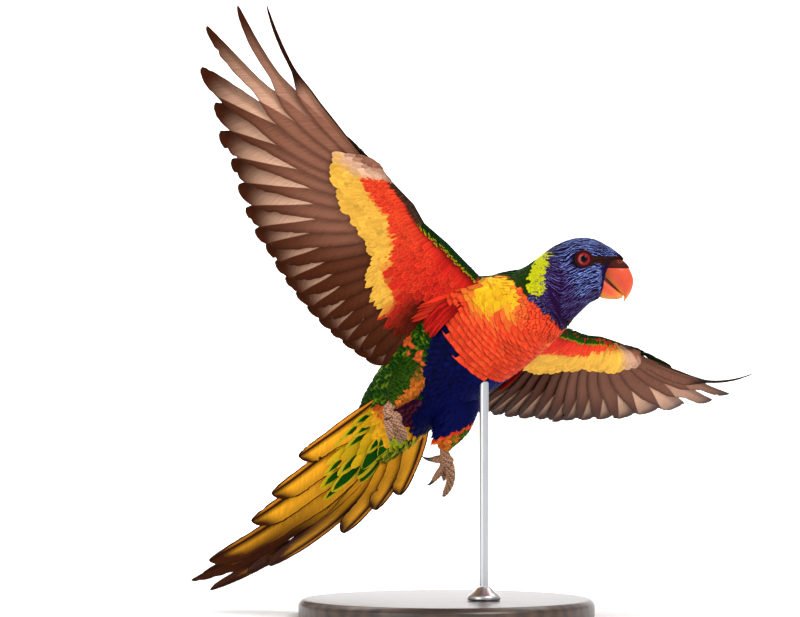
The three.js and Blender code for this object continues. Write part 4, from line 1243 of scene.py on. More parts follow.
def wing_coverts(pose, face, rng):
    """Rows of coverts of one face of a wing, from the flight feathers to the leading edge."""
    forms = []
    if face < 0:
        inner = lambda i: wing_bounds(i, pose)[1]
        outer = lambda i: wing_bounds(i, pose)[2]
        chord = lambda i: wing_chord(pose, i)
        for back, lift in GOLD_ROWS:
            stop = lambda i, b=back: outer(i) - b * np.maximum(outer(i) - inner(i), 0.08)
            start = lambda i, f=stop: np.maximum(f(i) - 0.17, 0.01)
            length = lambda i, f=start, g=stop: (g(i) - f(i)) * chord(i)
            forms.append(covert_row(pose, face, rng, start, length, 6.5, 2.3, lift, rows=8))
        for k in range(RED_ROWS):
            share = 1 - k / RED_ROWS
            front = lambda i: 0.7 * wing_bounds(i, pose)[0] if pose["side"] > 0 else 0.003
            start = lambda i, s=share: np.maximum((inner(i) - 0.05) * s, front(i))
            size = lambda i, s=share: (15 - 8 * (1 - s)) * np.interp(i, [0, 12, 18, 22], [1.3, 1, 0.75, 0.5])
            forms.append(covert_row(pose, face, rng, start, size, 3.4, 1.9, (0.8, 2.2), span=(-1, 19.5)))
        c, turn = shades(), WING_MARKS[pose["side"]]["green"]
        ticks = blend(c.leaf, c.gold, 0.6)

        def tone(i):
            far = smooth(i, turn - 0.4, turn + 0.9)
            # The leading edge's green is painted at half on the right wing and lighter on the left: painted
            # shade and painted light
            base = blend(c.green * (0.5 if pose["side"] > 0 else 1.1), c.foot * 0.1, far)
            return base, blend(ticks, base, far), base * 0.3, 0.5 + 0 * i, 0 * i

        for k in range(2 if pose["side"] > 0 else 1):
            start = lambda i, s=k / 3: 0.002 + s * wing_bounds(i, pose)[0]
            length = lambda i: 2.4 + 0 * i
            row = (start, length, 1.8, 1.9, (0.6, 2.4))
            forms.append(covert_row(pose, face, rng, *row, span=(0, 18.5), tone=tone))
        return forms
    for start_at, reach, width, spacing, lift in UPPER_ROWS:
        start = lambda i, s=start_at: s + 0 * i
        length = lambda i, r=reach: r * np.interp(i, [-1, 12, 22], [1, 1, 0.6])
        forms.append(covert_row(pose, face, rng, start, length, width, spacing, lift, rows=8))
    for k in range(SMALL_ROWS):
        start = lambda i, s=0.13 * (1 - k / SMALL_ROWS): np.maximum(s + 0.003, 0.05 * smooth(i, 9, 13))
        length = lambda i: 10 * np.interp(i, [-1, 12, 22], [1, 1, 0.5])
        forms.append(covert_row(pose, face, rng, start, length, 5, 3, (0.3, 1.1)))
    return forms


def wing_quills(pose, rng, rows):
    """Tertials, secondaries, primaries and alula of a wing; the flight feathers painted with light shining
    through where one web lies alone and with shade where two overlap.
    """
    c = shades()
    feathers = flight_feathers(pose)
    axes, shoulder = wing_matrix(pose)
    t = quill_steps(rows)
    local = shaft_line(pose, feathers, 0.02 + 0.98 * t)
    widths, narrows = feathers[:, 4:6].T
    index = np.arange(FLIGHT_COUNT)
    along = unit(np.gradient(local, axis=1))
    across = np.stack([-along[..., 1], along[..., 0], 0 * along[..., 0]], -1)
    shift = np.concatenate([local[:1] - 8 * across[:1], local[:-1]]) - local
    apart = -np.sum(shift * unit(across), -1)
    shape = np.stack([web_shape(t, QUILL_TIP, QUILL_ROOT, n) for n in narrows]) * widths[:, None]
    lead = LEADING_WEB * np.concatenate([shape[:1], shape[:-1]])
    primary = smooth(index, 11, 14)[:, None, None]
    outermost = smooth(index, 19.4, 20.6)[:, None, None]
    tilts, side, cells = np.full(FLIGHT_COUNT, VANE_TILT), pose["side"], (0, *WING_CELLS)

    def looks(t, u, xs, top):
        share = t[:, None] + 0 * xs
        tip = smooth(share, 0.52, 0.88) * (0.6 + 0.4 * smooth(share, 0.78, 0.95))
        # light: painted light, from mauve at the root through the peach of a single web with light shining
        # through it, to the brown tip
        light = blend(c.mauve * 0.9, c.peach, smooth(share, 0.3, 0.5) * (0.85 + 0.15 * primary))
        light = blend(light, c.mauve, 0.8 * outermost + 0 * share)
        light = blend(light, c.quill * 1.15, tip)
        # deep: painted shade where the web of the next feather in lies behind this one
        covered = (0.15 + 0.75 * primary) * (1 - 0.75 * smooth(share, 0.4, 0.85))
        deep = blend(c.quill * 1.9, c.mauve, covered)
        deep = blend(deep, c.quill, tip)
        lead_web = (u > 0.05)[:, None]
        light = np.where(lead_web, blend(light, c.quill, 0.5), light)
        shaft, rim = np.exp(-((u / 0.1) ** 2)), smooth(np.abs(u), 0.8, 1.0)
        light = blend(light, c.quill, np.maximum(0.55 * shaft, 0.5 * rim))
        deep = blend(deep, c.quill * 0.8, np.maximum(0.5 * shaft, 0.6 * rim))
        slim = (index > 21)[:, None, None] * np.maximum(smooth(share, 0.5, 0.62), u > 0.5)
        light, deep = blend(light, c.quill * 0.5, slim), blend(deep, c.quill * 0.5, slim)
        # The left wing's flight feathers are painted darker than the right's: painted shade
        light, deep = (v * (0.78 if side < 0 else 1) for v in (light, deep))
        green = blend(c.moss, c.green, 0.5)
        upper = blend(c.quill * 0.7, green, (u > -0.1) * (1 - 0.8 * tip))
        over = top[:, None]
        # split parts the painted light from the painted shade along the leading edge of the next feather in;
        # WEDGE lets the painted light reach past it towards the tip
        reach = lead - WEDGE * (1 - 0.6 * primary[..., 0]) * smooth(t, 0.4, 0.8)
        split = np.where(top, ONE_COLOUR, apart[..., None] - reach[..., None] + xs)
        return np.where(over, upper, light), np.where(over, upper, deep), split

    lines = local @ axes.T + shoulder
    return [
        quills(lines, axes[:, 2], widths, narrows, LEADING_WEB, tilts, looks, side, rng, rows, cells),
        alula_part(pose, rng),
    ]


def tail_quills(rng, rows):
    """Twelve tail feathers, golden below with dark shafts, edges and ends, the outer ones lowest."""
    c = shades()
    t = quill_steps(rows)
    up = unit(tail_point(0, 0, 50, 1) - tail_point(0, 0, 50, 0))
    lines, sides, tilts = [], [], []
    share = 0.03 + 0.97 * t
    for side, fan in TAIL_FEATHERS.items():
        for i, (angle, length) in enumerate(zip(fan["angles"], fan["lengths"])):
            lift = TAIL_STEP if i == 0 and side < 0 else -TAIL_STEP * i
            turn = angle + fan["curve"] * (1 - share**2)
            lines.append(tail_point(side, turn, length * share, lift, fan["spread"] * i))
            sides.append(side)
            tilts.append(0 if i == 0 else VANE_TILT)
    order = np.tile(np.arange(6), 2)[:, None, None]
    narrows = np.tile([0.6, 0.75, *[TAIL_NARROW] * 4], 2)
    shape = np.stack([web_shape(t, TAIL_TIP, QUILL_ROOT, narrow) for narrow in narrows])
    wide = np.tile(TAIL_WIDTHS, 2)[:, None, None]
    long = np.concatenate([fan["lengths"] for fan in TAIL_FEATHERS.values()])[:, None, None]

    def looks(t, u, xs, top):
        share = t[:, None] + 0 * xs
        brown = np.array(TAIL_BROWN)[np.minimum(order, 3)]
        end = smooth(share, 0.86, 1.0) + smooth(share, 0.32, 0.66) * brown
        smoke = smooth(-u, 0.2, 0.8) * smooth(share, 0.35, 0.95)
        smoke = smoke * np.where(order < 3, 0.6, 0.42)
        light = blend(c.tail_gold * 1.1, c.orange, 0.4 * (u > 0.1) + 0 * xs)
        glow = 0.7 * np.exp(-(((u + 0.45) / 0.3) ** 2))
        light = blend(light, c.tail_gold * 1.5, glow)
        light = blend(light, c.tail_brown, np.clip(end * 0.8 + smoke, 0, 1))
        light = blend(light, c.tail_brown * 0.5, np.abs(u) < 0.1)
        upper = blend(c.moss, c.green, 0.6 + 0 * share)
        over = top[:, None]
        web = np.where(u > 0, TAIL_WEB, 1 - TAIL_WEB) * wide * shape[..., None]
        inside = np.minimum(web * (1 - np.abs(u)), long * (1 - share))
        border = np.where(u > 0, 0.8, 0.55) + 0.5 * smooth(share, 0.6, 1)
        split = np.where(top, ONE_COLOUR, inside - border)
        return np.where(over, upper, light), np.where(over, upper, c.tail_brown * 0.6), split

    sides = np.array(sides)[:, None, None]
    widths = np.tile(TAIL_WIDTHS, 2).astype(float)
    settings = (TAIL_WEB, np.array(tilts), looks, sides, rng, rows, (0, *TAIL_CELLS), TAIL_TIP)
    return [quills(np.array(lines), up, widths, narrows, *settings)]


def tail_coverts(rng):
    """Coverts under and over the root of the tail: yellow with long dark green spots below, green above."""
    c = shades()
    forms = []
    for face in (-1, 1):
        for k in range(6):
            step = 8.0 if face < 0 else 13.0
            angle = np.arange(*((-32 + 0.5 * step * (k % 2), 58) if face < 0 else (-16, 34)), step)
            count = len(angle)
            angle = angle + rng.uniform(-1.5, 1.5, count)
            reach = np.interp(angle, COVERT_TIPS[0], COVERT_TIPS[1]) - 9.5 * k + rng.uniform(-1.5, 1.5, count)
            size = np.minimum(reach + 12, 30.0)

            def surface(a, b, height=0.0, face=face, k=k):
                lift = -(6.4 + 1.25 * k + height) if face < 0 else 4 + 0.5 * k + height
                return tail_point(1, a, b, lift)

            base = blend(c.gold, c.leaf, rng.uniform(0.0, 0.22, count))
            base = base * np.where(angle > -8, 1, 0.8)[:, None]
            if face > 0:
                base = np.tile(c.green, (count, 1))
            vary = rng.normal(1, 0.06, (count, 1, 1, 1))
            spotted = (rng.random(count) < (0.85 if k < 3 else 0.55))[:, None, None] * (face < 0)
            large = (1 + 0.7 * smooth(-angle, -6 - 3 * k, 8 - 3 * k))[:, None, None]

            def looks(t, u, inside, base=base, spotted=spotted, vary=vary, large=large):
                spot = 1 - (((t - 0.62) / 0.3 / large) ** 2 + ((u - 0.1) / 0.55 / large) ** 2)
                root = (0.6 + 0.4 * smooth(t, 0, 0.4))[..., None]
                tint = (base[:, None, None] + 0 * inside[..., None]) * root * vary
                tint = blend(tint, c.leaf, 0.6 * smooth(spot, -1.6, 0) * spotted + 0 * inside)
                return tint, c.green * 1.3 + 0 * tint, np.where(spotted, -2.5 * spot, ONE_COLOUR) + 0 * inside

            chart = lambda a, b, f=face: np.stack([0.5 + a / 140, 0.25 + 0.25 * f + (b + 20) / 300], -1)
            heights = lambda t: -2.2 + 2.6 * t
            wide = rng.uniform(6, 9, count)
            row = (surface, angle, reach - size, 0 * angle, size, wide, heights, looks, chart)
            forms.append(body_feathers(*row, rows=9, ridge=0.3, fall=0.01))
    return forms


def thigh_coat(side, rng):
    """Soft feathers down a thigh, orange inside and scalloped with green and yellow outside."""
    c = shades()
    thigh = np.array(LEGS[side]["thigh"], float)
    surface = tube_surface(thigh)
    way = 1 if side == "right" else -1
    forms = []
    for k in range(15):
        station = 0.45 + 2.3 * k / 14
        radius = float(spline(thigh[:, 3:], np.array(station))[0])
        count = max(10, round(2 * np.pi * radius / 2.6))
        turn = (np.arange(count) + 0.5 * (k % 2) + rng.uniform(-0.25, 0.25, count)) * 360 / count
        s = station + rng.uniform(-0.04, 0.04, count)
        place = surface(s, turn)
        across = place[:, 0] - np.interp(s, [0, 1, 2, 3], thigh[:, 0])
        outer = smooth(way * across / radius, -0.1, 0.7)
        outer = np.clip(outer + 0.35 * (side == "right") + rng.uniform(-0.3, 0.3, count), 0, 1)
        main = blend(c.orange * 1.15, c.ember, rng.uniform(0.0, 0.6, count))
        main = blend(main, c.green * 0.6, outer)
        edge = blend(blend(c.gold, c.orange, 0.5), c.leaf * 0.25, outer)
        world = place @ BIRD.T + TORSO_AT
        leafy = (side == "left") * (rng.random(count) < 0.5) * smooth(world[:, 0], 2, 8)
        main, edge = blend(main, c.green, leafy), blend(edge, c.leaf, leafy)
        under = world[:, 2] - 96.6 - 0.508 * (world[:, 0] + 8.6) + rng.normal(0, 0.5, count)
        belly = (side == "left") * smooth(under, -1, 0)
        main = blend(blend(main, c.red, belly * (under < 1.2)), c.navy, belly * (under >= 1.2))
        edge = blend(edge, main * 1.5, belly)
        looks = feather_looks(rng, main, edge, edge, np.full(count, 0.35), np.full(count, 0.35))
        size = 7.5 * rng.uniform(0.85, 1.15, count) * np.interp(station, [0, 3], [1.1, 0.7])
        chart = lambda a, b: np.stack([0.02 + 0.96 * (b % 360) / 360, 0.02 + 0.4 * a / 3], -1)
        loft = 4 * smooth((surface(s, turn, 1.0) - place) @ BIRD[0], -0.1, -0.8) * (side == "left")
        heights = lambda t, l=loft[:, None]: -1.6 + 1.9 * t + l * (0.4 + 0.6 * t)
        wide = np.full(count, 4.2)
        forms.append(body_feathers(surface, s, turn, size / 12, 0 * s, wide, heights, looks, chart))
    return forms


def plume_part(rng, roots, ends, bends, widths, colour, edge):
    """Loose long feathers from roots to ends, bent in the middle by bends."""
    roots, ends, bends = (np.asarray(v, float) for v in (roots, ends, bends))

    def surface(a, b, height=0.0):
        i = np.round(a).astype(int)
        t = b[..., None]
        line = roots[i] * (1 - t) + ends[i] * t + bends[i] * (4 * t * (1 - t))
        out = unit(np.cross(ends[i] - roots[i], np.array([0.3, 0.2, 1.0])))
        return line + np.asarray(height)[..., None] * out

    count = len(roots)
    main = colour * rng.uniform(0.45, 1.15, (count, 1))
    edges = np.tile(edge, (count, 1))
    looks = feather_looks(rng, main, edges, main * 0.7, np.full(count, 0.5), np.full(count, 0.3))
    chart = lambda a, b: np.stack([0.1 + 0.8 * a / count, 0.5 + 0 * a], -1)
    a = np.arange(count).astype(float)
    row = (surface, a, 0 * a, 0 * a, 1 + 0 * a, widths, lambda t: 0 * t, looks, chart)
    return body_feathers(*row, rows=9, ridge=0.25)


# Bare parts


def bill_part(profile, rows, ring, colour, relief):
    """Half of the bill: ellipses that each span from the ridge to the cutting edge along smooth profiles."""
    profile = np.array(profile, float)
    s, turn = rings(len(profile) - 1, rows, ring)
    turn = np.radians(turn)
    at = spline(profile, s)
    ridge = np.stack([0 * s, at[..., 0], at[..., 1]], -1)
    edge = np.stack([0 * s, at[..., 2], at[..., 3]], -1)
    half = (ridge - edge) / 2
    points = (ridge + edge) / 2 + half * np.sin(turn)[..., None]
    points[..., 0] = at[..., 4] * np.sign(np.cos(turn)) * np.abs(np.cos(turn)) ** 0.85
    centre = (ridge + edge) / 2
    points = points + unit(points - centre) * relief(s, turn, points)[..., None]
    return part(from_head(points), ring_faces(1, rows, ring), colour(s, turn, points))


def eye_part(side):
    """Eyeball with a bulging cornea: pupil and red iris by the distance from its axis, with a pale crescent
    of painted light on one side of the iris.
    """
    c = shades()
    polar, turn = np.radians(np.meshgrid(np.linspace(0.5, 179.5, 90), circle(64), indexing="ij"))
    r = EYE_RADIUS * np.sin(polar)
    x = EYE_RADIUS * np.cos(polar) + 0.3 * np.exp(-((r / 2.6) ** 2)) * (polar < 1.5)
    points = [side * (EYE_AT[0] + x), EYE_AT[1] + r * np.cos(turn), EYE_AT[2] + r * np.sin(turn)]
    points = np.stack(points, -1)
    pale = np.array(linear("d08070"))
    rays = 1 + 0.22 * np.sin(turn * 31 + np.sin(turn * 7) * 2)
    tint = blend(np.array(linear("020202")), c.iris * 0.5, smooth(r, PUPIL, PUPIL + 0.25))
    tint = blend(tint, c.iris * rays[..., None], smooth(r, 1.9, 2.4))
    # A pale crescent on one side of the iris near the pupil: painted light
    tint = blend(tint, pale, 0.5 * np.exp(-(((r - 2.3) / 0.4) ** 2)) * smooth(-np.cos(turn), -0.1, 0.8))
    tint = blend(tint, c.iris * 0.2, smooth(r, 3.3, 3.8))
    return part(from_head(points), ring_faces(1, *polar.shape), tint)


def scutes(s, turn):
    """Rings of furrows that wind a little round a toe, 0 in the furrow and 1 between, and knobs in each."""
    wave = np.abs(np.sin(s * np.pi * 5 + 0.5 * np.sin(np.radians(turn) * 2)))
    return wave, np.sin(np.radians(turn) * 6 + np.floor(s * 5) * 2.1)


def foot_parts(side):
    """Shank and toes with rings of scutes: the radius swells between the furrows along each toe."""
    c = shades()
    rng = np.random.default_rng(31)

    def colour(s, turn):
        worn = 0.75 + 0.5 * rng.random(s.shape)
        wave, knob = scutes(s, turn)
        # Darker in the furrows between the scutes and in the hollows between the knobs: painted shade in the
        # creases
        out_of_furrow = smooth(wave, 0.1, 0.6) * smooth(knob, -1.0, -0.3)
        return blend(c.claw * 0.7, c.foot, 0.1 + 0.9 * out_of_furrow) * worn[..., None]

    def relief(s, turn):
        wave, knob = scutes(s, turn)
        return -0.35 + 0.32 * wave**0.5 + 0.12 * knob

    lines = [LEGS[side]["tarsus"], *LEGS[side]["toes"]]
    return [tube_part(line, 24 * len(line), 28, colour, relief) for line in lines]


def claw_parts(side):
    """Claws that go on from the toes and curl towards the back, thinning to a point."""
    c = shades()
    forms = []
    for toe in LEGS[side]["toes"]:
        toe = np.array(toe, float)
        end = float(len(toe) - 1)
        along = unit(spline(toe[:, :3], end) - spline(toe[:, :3], end - 0.02))
        curl = unit(np.array([0, 0, 1.0]) - along * along[2])
        radius = toe[-1, 3]
        t = np.linspace(-0.12, 1, 9)
        angle = np.radians(CLAW_CURL) * t
        bend = CLAW_LENGTH / np.radians(CLAW_CURL)
        arc = np.outer(np.sin(angle), along) + np.outer(1 - np.cos(angle), curl)
        line = toe[-1, :3] + along * GAP + bend * arc
        sizes = np.interp(t, [0, 1], [radius * 0.8, 0.22])
        colour = lambda s, turn: blend(c.claw, c.foot * 0.8, smooth(s, 3, 0) * 0.5 + 0 * turn)
        forms.append(tube_part(np.c_[line, sizes], 40, 16, colour))
    return forms


def turned_part(profile, at, ring, colour):
    """Body of revolution about a vertical axis over a profile of radius and height."""
    profile = np.array(profile, float)
    turn = np.radians(circle(ring))
    x = at[0] + profile[:, :1] * np.cos(turn)
    y = at[1] + profile[:, :1] * np.sin(turn)
    points = np.stack([x, y, np.broadcast_to(profile[:, 1:], x.shape)], -1)
    return part(points, ring_faces(1, len(profile), ring), np.array(colour))


def rounded(profile, radius, steps=6):
    """A profile whose inner corners are replaced by quadratic curves of a given reach."""
    profile = np.array(profile, float)
    found = [profile[:1]]
    for a, b, c in zip(profile[:-2], profile[1:-1], profile[2:]):
        near = min(radius, np.linalg.norm(b - a) / 2, np.linalg.norm(c - b) / 2)
        p, q = b + unit(a - b) * near, b + unit(c - b) * near
        t = np.linspace(0, 1, steps)[:, None]
        found.append(p * (1 - t) ** 2 + 2 * b * t * (1 - t) + q * t**2)
    return np.concatenate([*found, profile[-1:]])


# Operators


class LorikeetSkin(bpy.types.Operator):
    """One skin of body, head, wings and thighs under the feathers"""

    bl_idname = "lorikeet.skin"
    bl_label = "Skin"

    def execute(self, context):
        parts = [skin_of_trunk(), *(skin_of_wing(pose) for pose in WING_POSES.values())]
        c = shades()
        for side in LEGS:
            # Thigh skin in orange at half brightness: painted shade between the feathers
            flesh = lambda s, t: c.orange * 0.5 + 0 * s[..., None]
            parts.append(tube_part(LEGS[side]["thigh"], 30, 32, flesh, lambda s, t: -1.6 + 0 * s))
        parts += [lid_part(1), lid_part(-1)]
        bare = tinted_material("bare_skin", 0.75, 900, 0.0002, specular=0.15)
        made = piece("skin", parts, bare, "feather_breast")
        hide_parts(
            "torso", "neck", "head", "tail", "thigh_right", "thigh_left", "wing_right", "wing_left"
        )
        return {"FINISHED"}


class LorikeetBodyCoat(bpy.types.Operator):
    """Feathers of the rump, belly, breast and neck in rows that overlap towards the tail"""

    bl_idname = "lorikeet.body_coat"
    bl_label = "Body feathers"

    def execute(self, context):
        sizes = context.scene.lorikeet_sizes
        material = feather_material("body_feathers")
        scale = sizes.breast_feather / BREAST_FEATHER
        for name, ((low, high), step, gap, length, width, loose, ridge, blunt, border, slot) in COATS.items():
            rng = np.random.default_rng([sizes.seed, len(name), int(10 * low)])
            station, turn = trunk_places(rng, low, high, step * sizes.row_step / ROW_STEP, gap, loose)
            count = len(station)
            ahead, around = along_trunk(station, turn)
            reach = length * scale * rng.uniform(0.95, 1.05, count)
            depth, loft = coat_depth(station)[:, None], fluff(station, turn)[:, None]
            tips = np.maximum(station - 0.7 * reach / ahead + rng.normal(0, 0.03, count), 0.02)
            looks = body_looks(tips, turn, trunk(tips, turn))
            slim = np.interp(np.abs(belly_turn(turn)), [60, 95], [1, 7 / max(width, 7)])
            form = body_feathers(
                trunk,
                station,
                turn,
                -np.minimum(reach / ahead, station - 0.02),
                rng.normal(0, 0.5, count) / around,
                width * rng.uniform(0.9, 1.1, count) * slim,
                lambda t, d=depth, l=loft: -d * 0.9 + 0.6 * l + (d * 0.95 + 0.4 * l) * t,
                feather_looks(rng, *looks, border=border),
                chart_of_trunk,
                rows=7,
                ridge=ridge,
                blunt=blunt,
            )
            piece(name, [form], material, slot, sharp=50)
        return {"FINISHED"}


class LorikeetPlumes(bpy.types.Operator):
    """Long loose red feathers from the side of the breast over the armpit and the flank"""

    bl_idname = "lorikeet.plumes"
    bl_label = "Plumes"

    def execute(self, context):
        c = shades()
        rng = np.random.default_rng([context.scene.lorikeet_sizes.seed, 5])
        material = feather_material("plume_feathers")
        for name, pose in WING_POSES.items():
            way = pose["side"]
            under = wing_face(pose, -1)
            count, short_count, outward, far, vary = PLUMES[way]
            q = rng.random((count, 2))
            station, turn = 5.6 + 0.8 * q[:, 0], (90 - way * (90 + 8 - 12 * q[:, 0])) % 360
            roots = trunk(station, turn, 0.6 + 0 * q[:, 0])
            far = far - vary * q[:, 0] + rng.uniform(-0.03, 0.03, count)
            ends = under(outward + 1.8 * q[:, 1], far, 1.0 + 0.8 * q[:, 1])
            bends = np.array([way * 0.5, 0, -1.0]) * rng.uniform(0.1, 0.8, (count, 1))
            red, widths = blend(c.crimson, c.red, 0.6), rng.uniform(2.4, 3.8, count)
            long = plume_part(rng, roots, ends, bends, widths, red, c.ember)
            count = short_count
            q = rng.random((count, 2))
            station, turn = 5.55 + 0.65 * q[:, 0], (90 - way * (90 + 2 + 20 * q[:, 1])) % 360
            roots = trunk(station, turn, 0 * q[:, 0])
            tips, lower = station - 0.75 - 0.35 * q[:, 0], turn - way * (4 + 8 * q[:, 1])
            ends = trunk(tips, lower, 0.8 + 1.8 * q[:, 1])
            bends = unit(roots * [1, 0, 1]) * rng.uniform(0.8, 1.8, (count, 1))
            widths = rng.uniform(1.3, 2.4, count)
            short = plume_part(rng, roots, ends, bends, widths, c.crimson, c.ember)
            piece(f"plumes_{name}", [long, short], material, "feather_breast", sharp=50)
        return {"FINISHED"}


class LorikeetHeadCoat(bpy.types.Operator):
    """Small narrow feathers of the head, swept back from the bill and round the eyes"""

    bl_idname = "lorikeet.head_coat"
    bl_label = "Head feathers"

    def execute(self, context):
        sizes = context.scene.lorikeet_sizes
        rng = np.random.default_rng([sizes.seed, 3])
        station, turn = trunk_places(rng, 8.35, LAST_STATION - 0.05, HEAD_ROW_STEP, 1.25, 0.12, HEAD_COLUMNS)
        ahead, around = along_trunk(station, turn)
        reach = np.interp(station, [8.5, 9.3, 12, 16.6], [5.5, 6.8, 5.2, 3])
        reach = reach * sizes.head_feather / HEAD_FEATHER * rng.uniform(0.85, 1.15, len(station))
        place = head_frame(trunk(station, turn))
        middle = head_frame(trunk(station - 0.6 * reach / ahead, turn))
        far = np.minimum(*(np.hypot(*(where[:, 1:] - EYE_AT[1:]).T) for where in (place, middle)))
        keep = (far > LID_RADIUS + 0.5) | (np.abs(place[:, 0]) < 6)
        station, turn, reach, ahead, around = (v[keep] for v in (station, turn, reach, ahead, around))
        place = head_frame(trunk(station, turn))
        near = np.exp(-(((place[:, 1] - EYE_AT[1]) / 8) ** 2) - ((place[:, 2] - EYE_AT[2]) / 9) ** 2)
        swirl = np.sign(place[:, 2] - EYE_AT[2]) * near * np.sign(place[:, 0])
        swirl = swirl * np.clip((place[:, 1] - EYE_AT[1]) / 7, -0.8, 1)
        tips = np.maximum(station - 0.68 * reach / ahead, 8.1)
        main, edge, shaft, _, line = body_looks(tips, turn, trunk(tips, turn))
        depth = coat_depth(station)[:, None]
        wave = np.sin(5.5 * station + 1.7 * np.round(turn * HEAD_COLUMNS / 360))
        line = line * np.clip(0.68 + 0.4 * wave + rng.normal(0, 0.08, len(line)), 0, 1)
        form = body_feathers(
            trunk,
            station,
            turn,
            -reach / ahead,
            (0.6 * swirl + rng.normal(0, 0.08, len(station))) * reach / around,
            np.interp(station, [8.5, 10, 13, 16.6], [2.0, 1.7, 1.4, 1.0]),
            lambda t: -depth * 0.9 + depth * t,
            streaked_looks(rng, blend(main, edge, 0.3), shaft, line),
            chart_of_trunk,
            rows=5,
            blunt=0.8,
        )
        piece("coat_head", [form], feather_material("head_feathers", 0.6, 0.09), "feather_head", sharp=50)
        return {"FINISHED"}


class LorikeetLegCoat(bpy.types.Operator):
    """Feathers of both thighs"""

    bl_idname = "lorikeet.leg_coat"
    bl_label = "Thigh feathers"

    def execute(self, context):
        material = feather_material("thigh_feathers", 0.7)
        for k, side in enumerate(LEGS):
            rng = np.random.default_rng([context.scene.lorikeet_sizes.seed, 40 + k])
            piece(f"coat_thigh_{side}", thigh_coat(side, rng), material, "feather_thigh", sharp=50)
        return {"FINISHED"}


class LorikeetWings(bpy.types.Operator):
    """Flight feathers of both wings and the coverts over and under them"""

    bl_idname = "lorikeet.wings"
    bl_label = "Wings"

    def execute(self, context):
        sizes = context.scene.lorikeet_sizes
        quill = feather_material("flight_feathers", 0.6, 0.35, 1500.0)
        covert = feather_material("wing_coverts")
        for k, (side, pose) in enumerate(WING_POSES.items()):
            rng = np.random.default_rng([sizes.seed, 60 + k])
            feathers = wing_quills(pose, rng, sizes.quill_rows)
            piece(f"flight_feathers_{side}", feathers, quill, "feather_wing", sharp=40)
            for face, name in ((-1, "under"), (1, "upper")):
                feathers = wing_coverts(pose, face, rng)
                piece(f"coverts_{name}_{side}", feathers, covert, "feather_wing", sharp=50)
        return {"FINISHED"}


class LorikeetTail(bpy.types.Operator):
    """Tail feathers and the coverts at their root"""

    bl_idname = "lorikeet.tail"
    bl_label = "Tail"

    def execute(self, context):
        sizes = context.scene.lorikeet_sizes
        rng = np.random.default_rng([sizes.seed, 80])
        quill = feather_material("tail_feathers", 0.6, 0.25, 1500.0)
        piece("tail_feathers", tail_quills(rng, sizes.quill_rows), quill, "feather_tail", sharp=40)
        covert = feather_material("tail_covert_feathers")
        piece("tail_coverts", tail_coverts(rng), covert, "feather_tail", sharp=50)
        return {"FINISHED"}


class LorikeetBill(bpy.types.Operator):
    """Both halves of the bill and the cere with its nostrils"""

    bl_idname = "lorikeet.bill"
    bl_label = "Bill"

    def execute(self, context):
        c = shades()
        horn = tinted_material("bill_horn", 0.42, 500, 0.00006, 0.06, coat=0.12, specular=0.3)

        def upper(s, turn, points):
            tip = np.maximum(smooth(s, 3.6, 6), 0.7 * smooth(-np.sin(turn), 0.3, 1))
            core = np.exp(-(((s - 2.6) / 1.6) ** 2) - ((np.sin(turn) + 0.1) / 0.7) ** 2)
            return blend(blend(c.bill, c.bill_tip, 0.75 * tip), c.red * 0.75, 0.55 * core)

        def lower(s, turn, points):
            tip = np.maximum(smooth(s, 2, 5), smooth(-np.sin(turn), 0, 0.9))
            horny = blend(c.bill, c.bill_tip, 0.8 * tip)
            # A dark strip along the top of the lower half, where it meets the upper: painted shade at the
            # seam
            return blend(horny, c.ember * 0.3, smooth(np.sin(turn), 0.9, 0.97))

        flat = lambda s, turn, points: 0 * s

        def sunk(s, turn, points):
            hollow = 0.5 * smooth(-np.sin(turn), 0.6, 1) * (s < 4.6)
            return hollow - 0.8 * smooth(points[..., 2], CERE_EDGE, CERE_EDGE + 0.6)

        made = piece("bill_hook", [bill_part(UPPER_BILL, 70, 56, upper, sunk)], horn, "bill")
        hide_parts("bill_upper")
        mouth = [[*row, low[0] + 0.2, low[1] - 1.2, low[4] * 0.8] for row, low in zip(MOUTH_LINE, LOWER_BILL)]
        # The inside of the mouth is nearly black: painted shade
        inside = bill_part(mouth, 24, 24, lambda s, t, p: c.ember * 0.12 + 0 * p, flat)
        cup = lambda s, turn, points: 1.2 * smooth(np.sin(turn), 0, 1)
        made = piece("bill_under", [bill_part(LOWER_BILL, 50, 48, lower, cup), inside], horn, "bill")
        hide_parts("bill_lower")

        def pit(points):
            gap = points * [np.nan, 1, 1] - np.array(NOSTRIL_AT)
            return np.exp(-((gap[..., 1] / 1.0) ** 2) - (gap[..., 2] / 0.75) ** 2)

        def swell(s, turn, points):
            return 0.7 * smooth(points[..., 2], CERE_EDGE - 0.5, CERE_EDGE + 0.5) - 0.45 - 0.45 * pit(points)

        def bare(s, turn, points):
            folds = 0.9 + 0.2 * np.sin(points[..., 1:2] * 9)
            flesh = blend(c.cere * folds, c.orange * 0.5, pit(points))
            # The middle of the nostril is nearly black: painted shade in the hole
            return blend(flesh, c.cere * 0.1, smooth(pit(points), 0.6, 0.9))

        skin = tinted_material("cere_skin", 0.6, 1500, 0.00015, specular=0.1)
        made = piece("cere_skin", [bill_part(UPPER_BILL[:4], 60, 64, bare, swell)], skin, "cere")
        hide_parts("cere")
        return {"FINISHED"}


class LorikeetEyes(bpy.types.Operator):
    """Eyeballs with red irises"""

    bl_idname = "lorikeet.eyes"
    bl_label = "Eyes"

    def execute(self, context):
        material = tinted_material("eye", 0.05, 300, 0.00001, 0.05, coat=0.03, specular=0.08)
        for side, name in ((1, "right"), (-1, "left")):
            made = piece(f"eyeball_{name}", [eye_part(side)], material, "eye")
            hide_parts(f"eye_{name}")
        return {"FINISHED"}


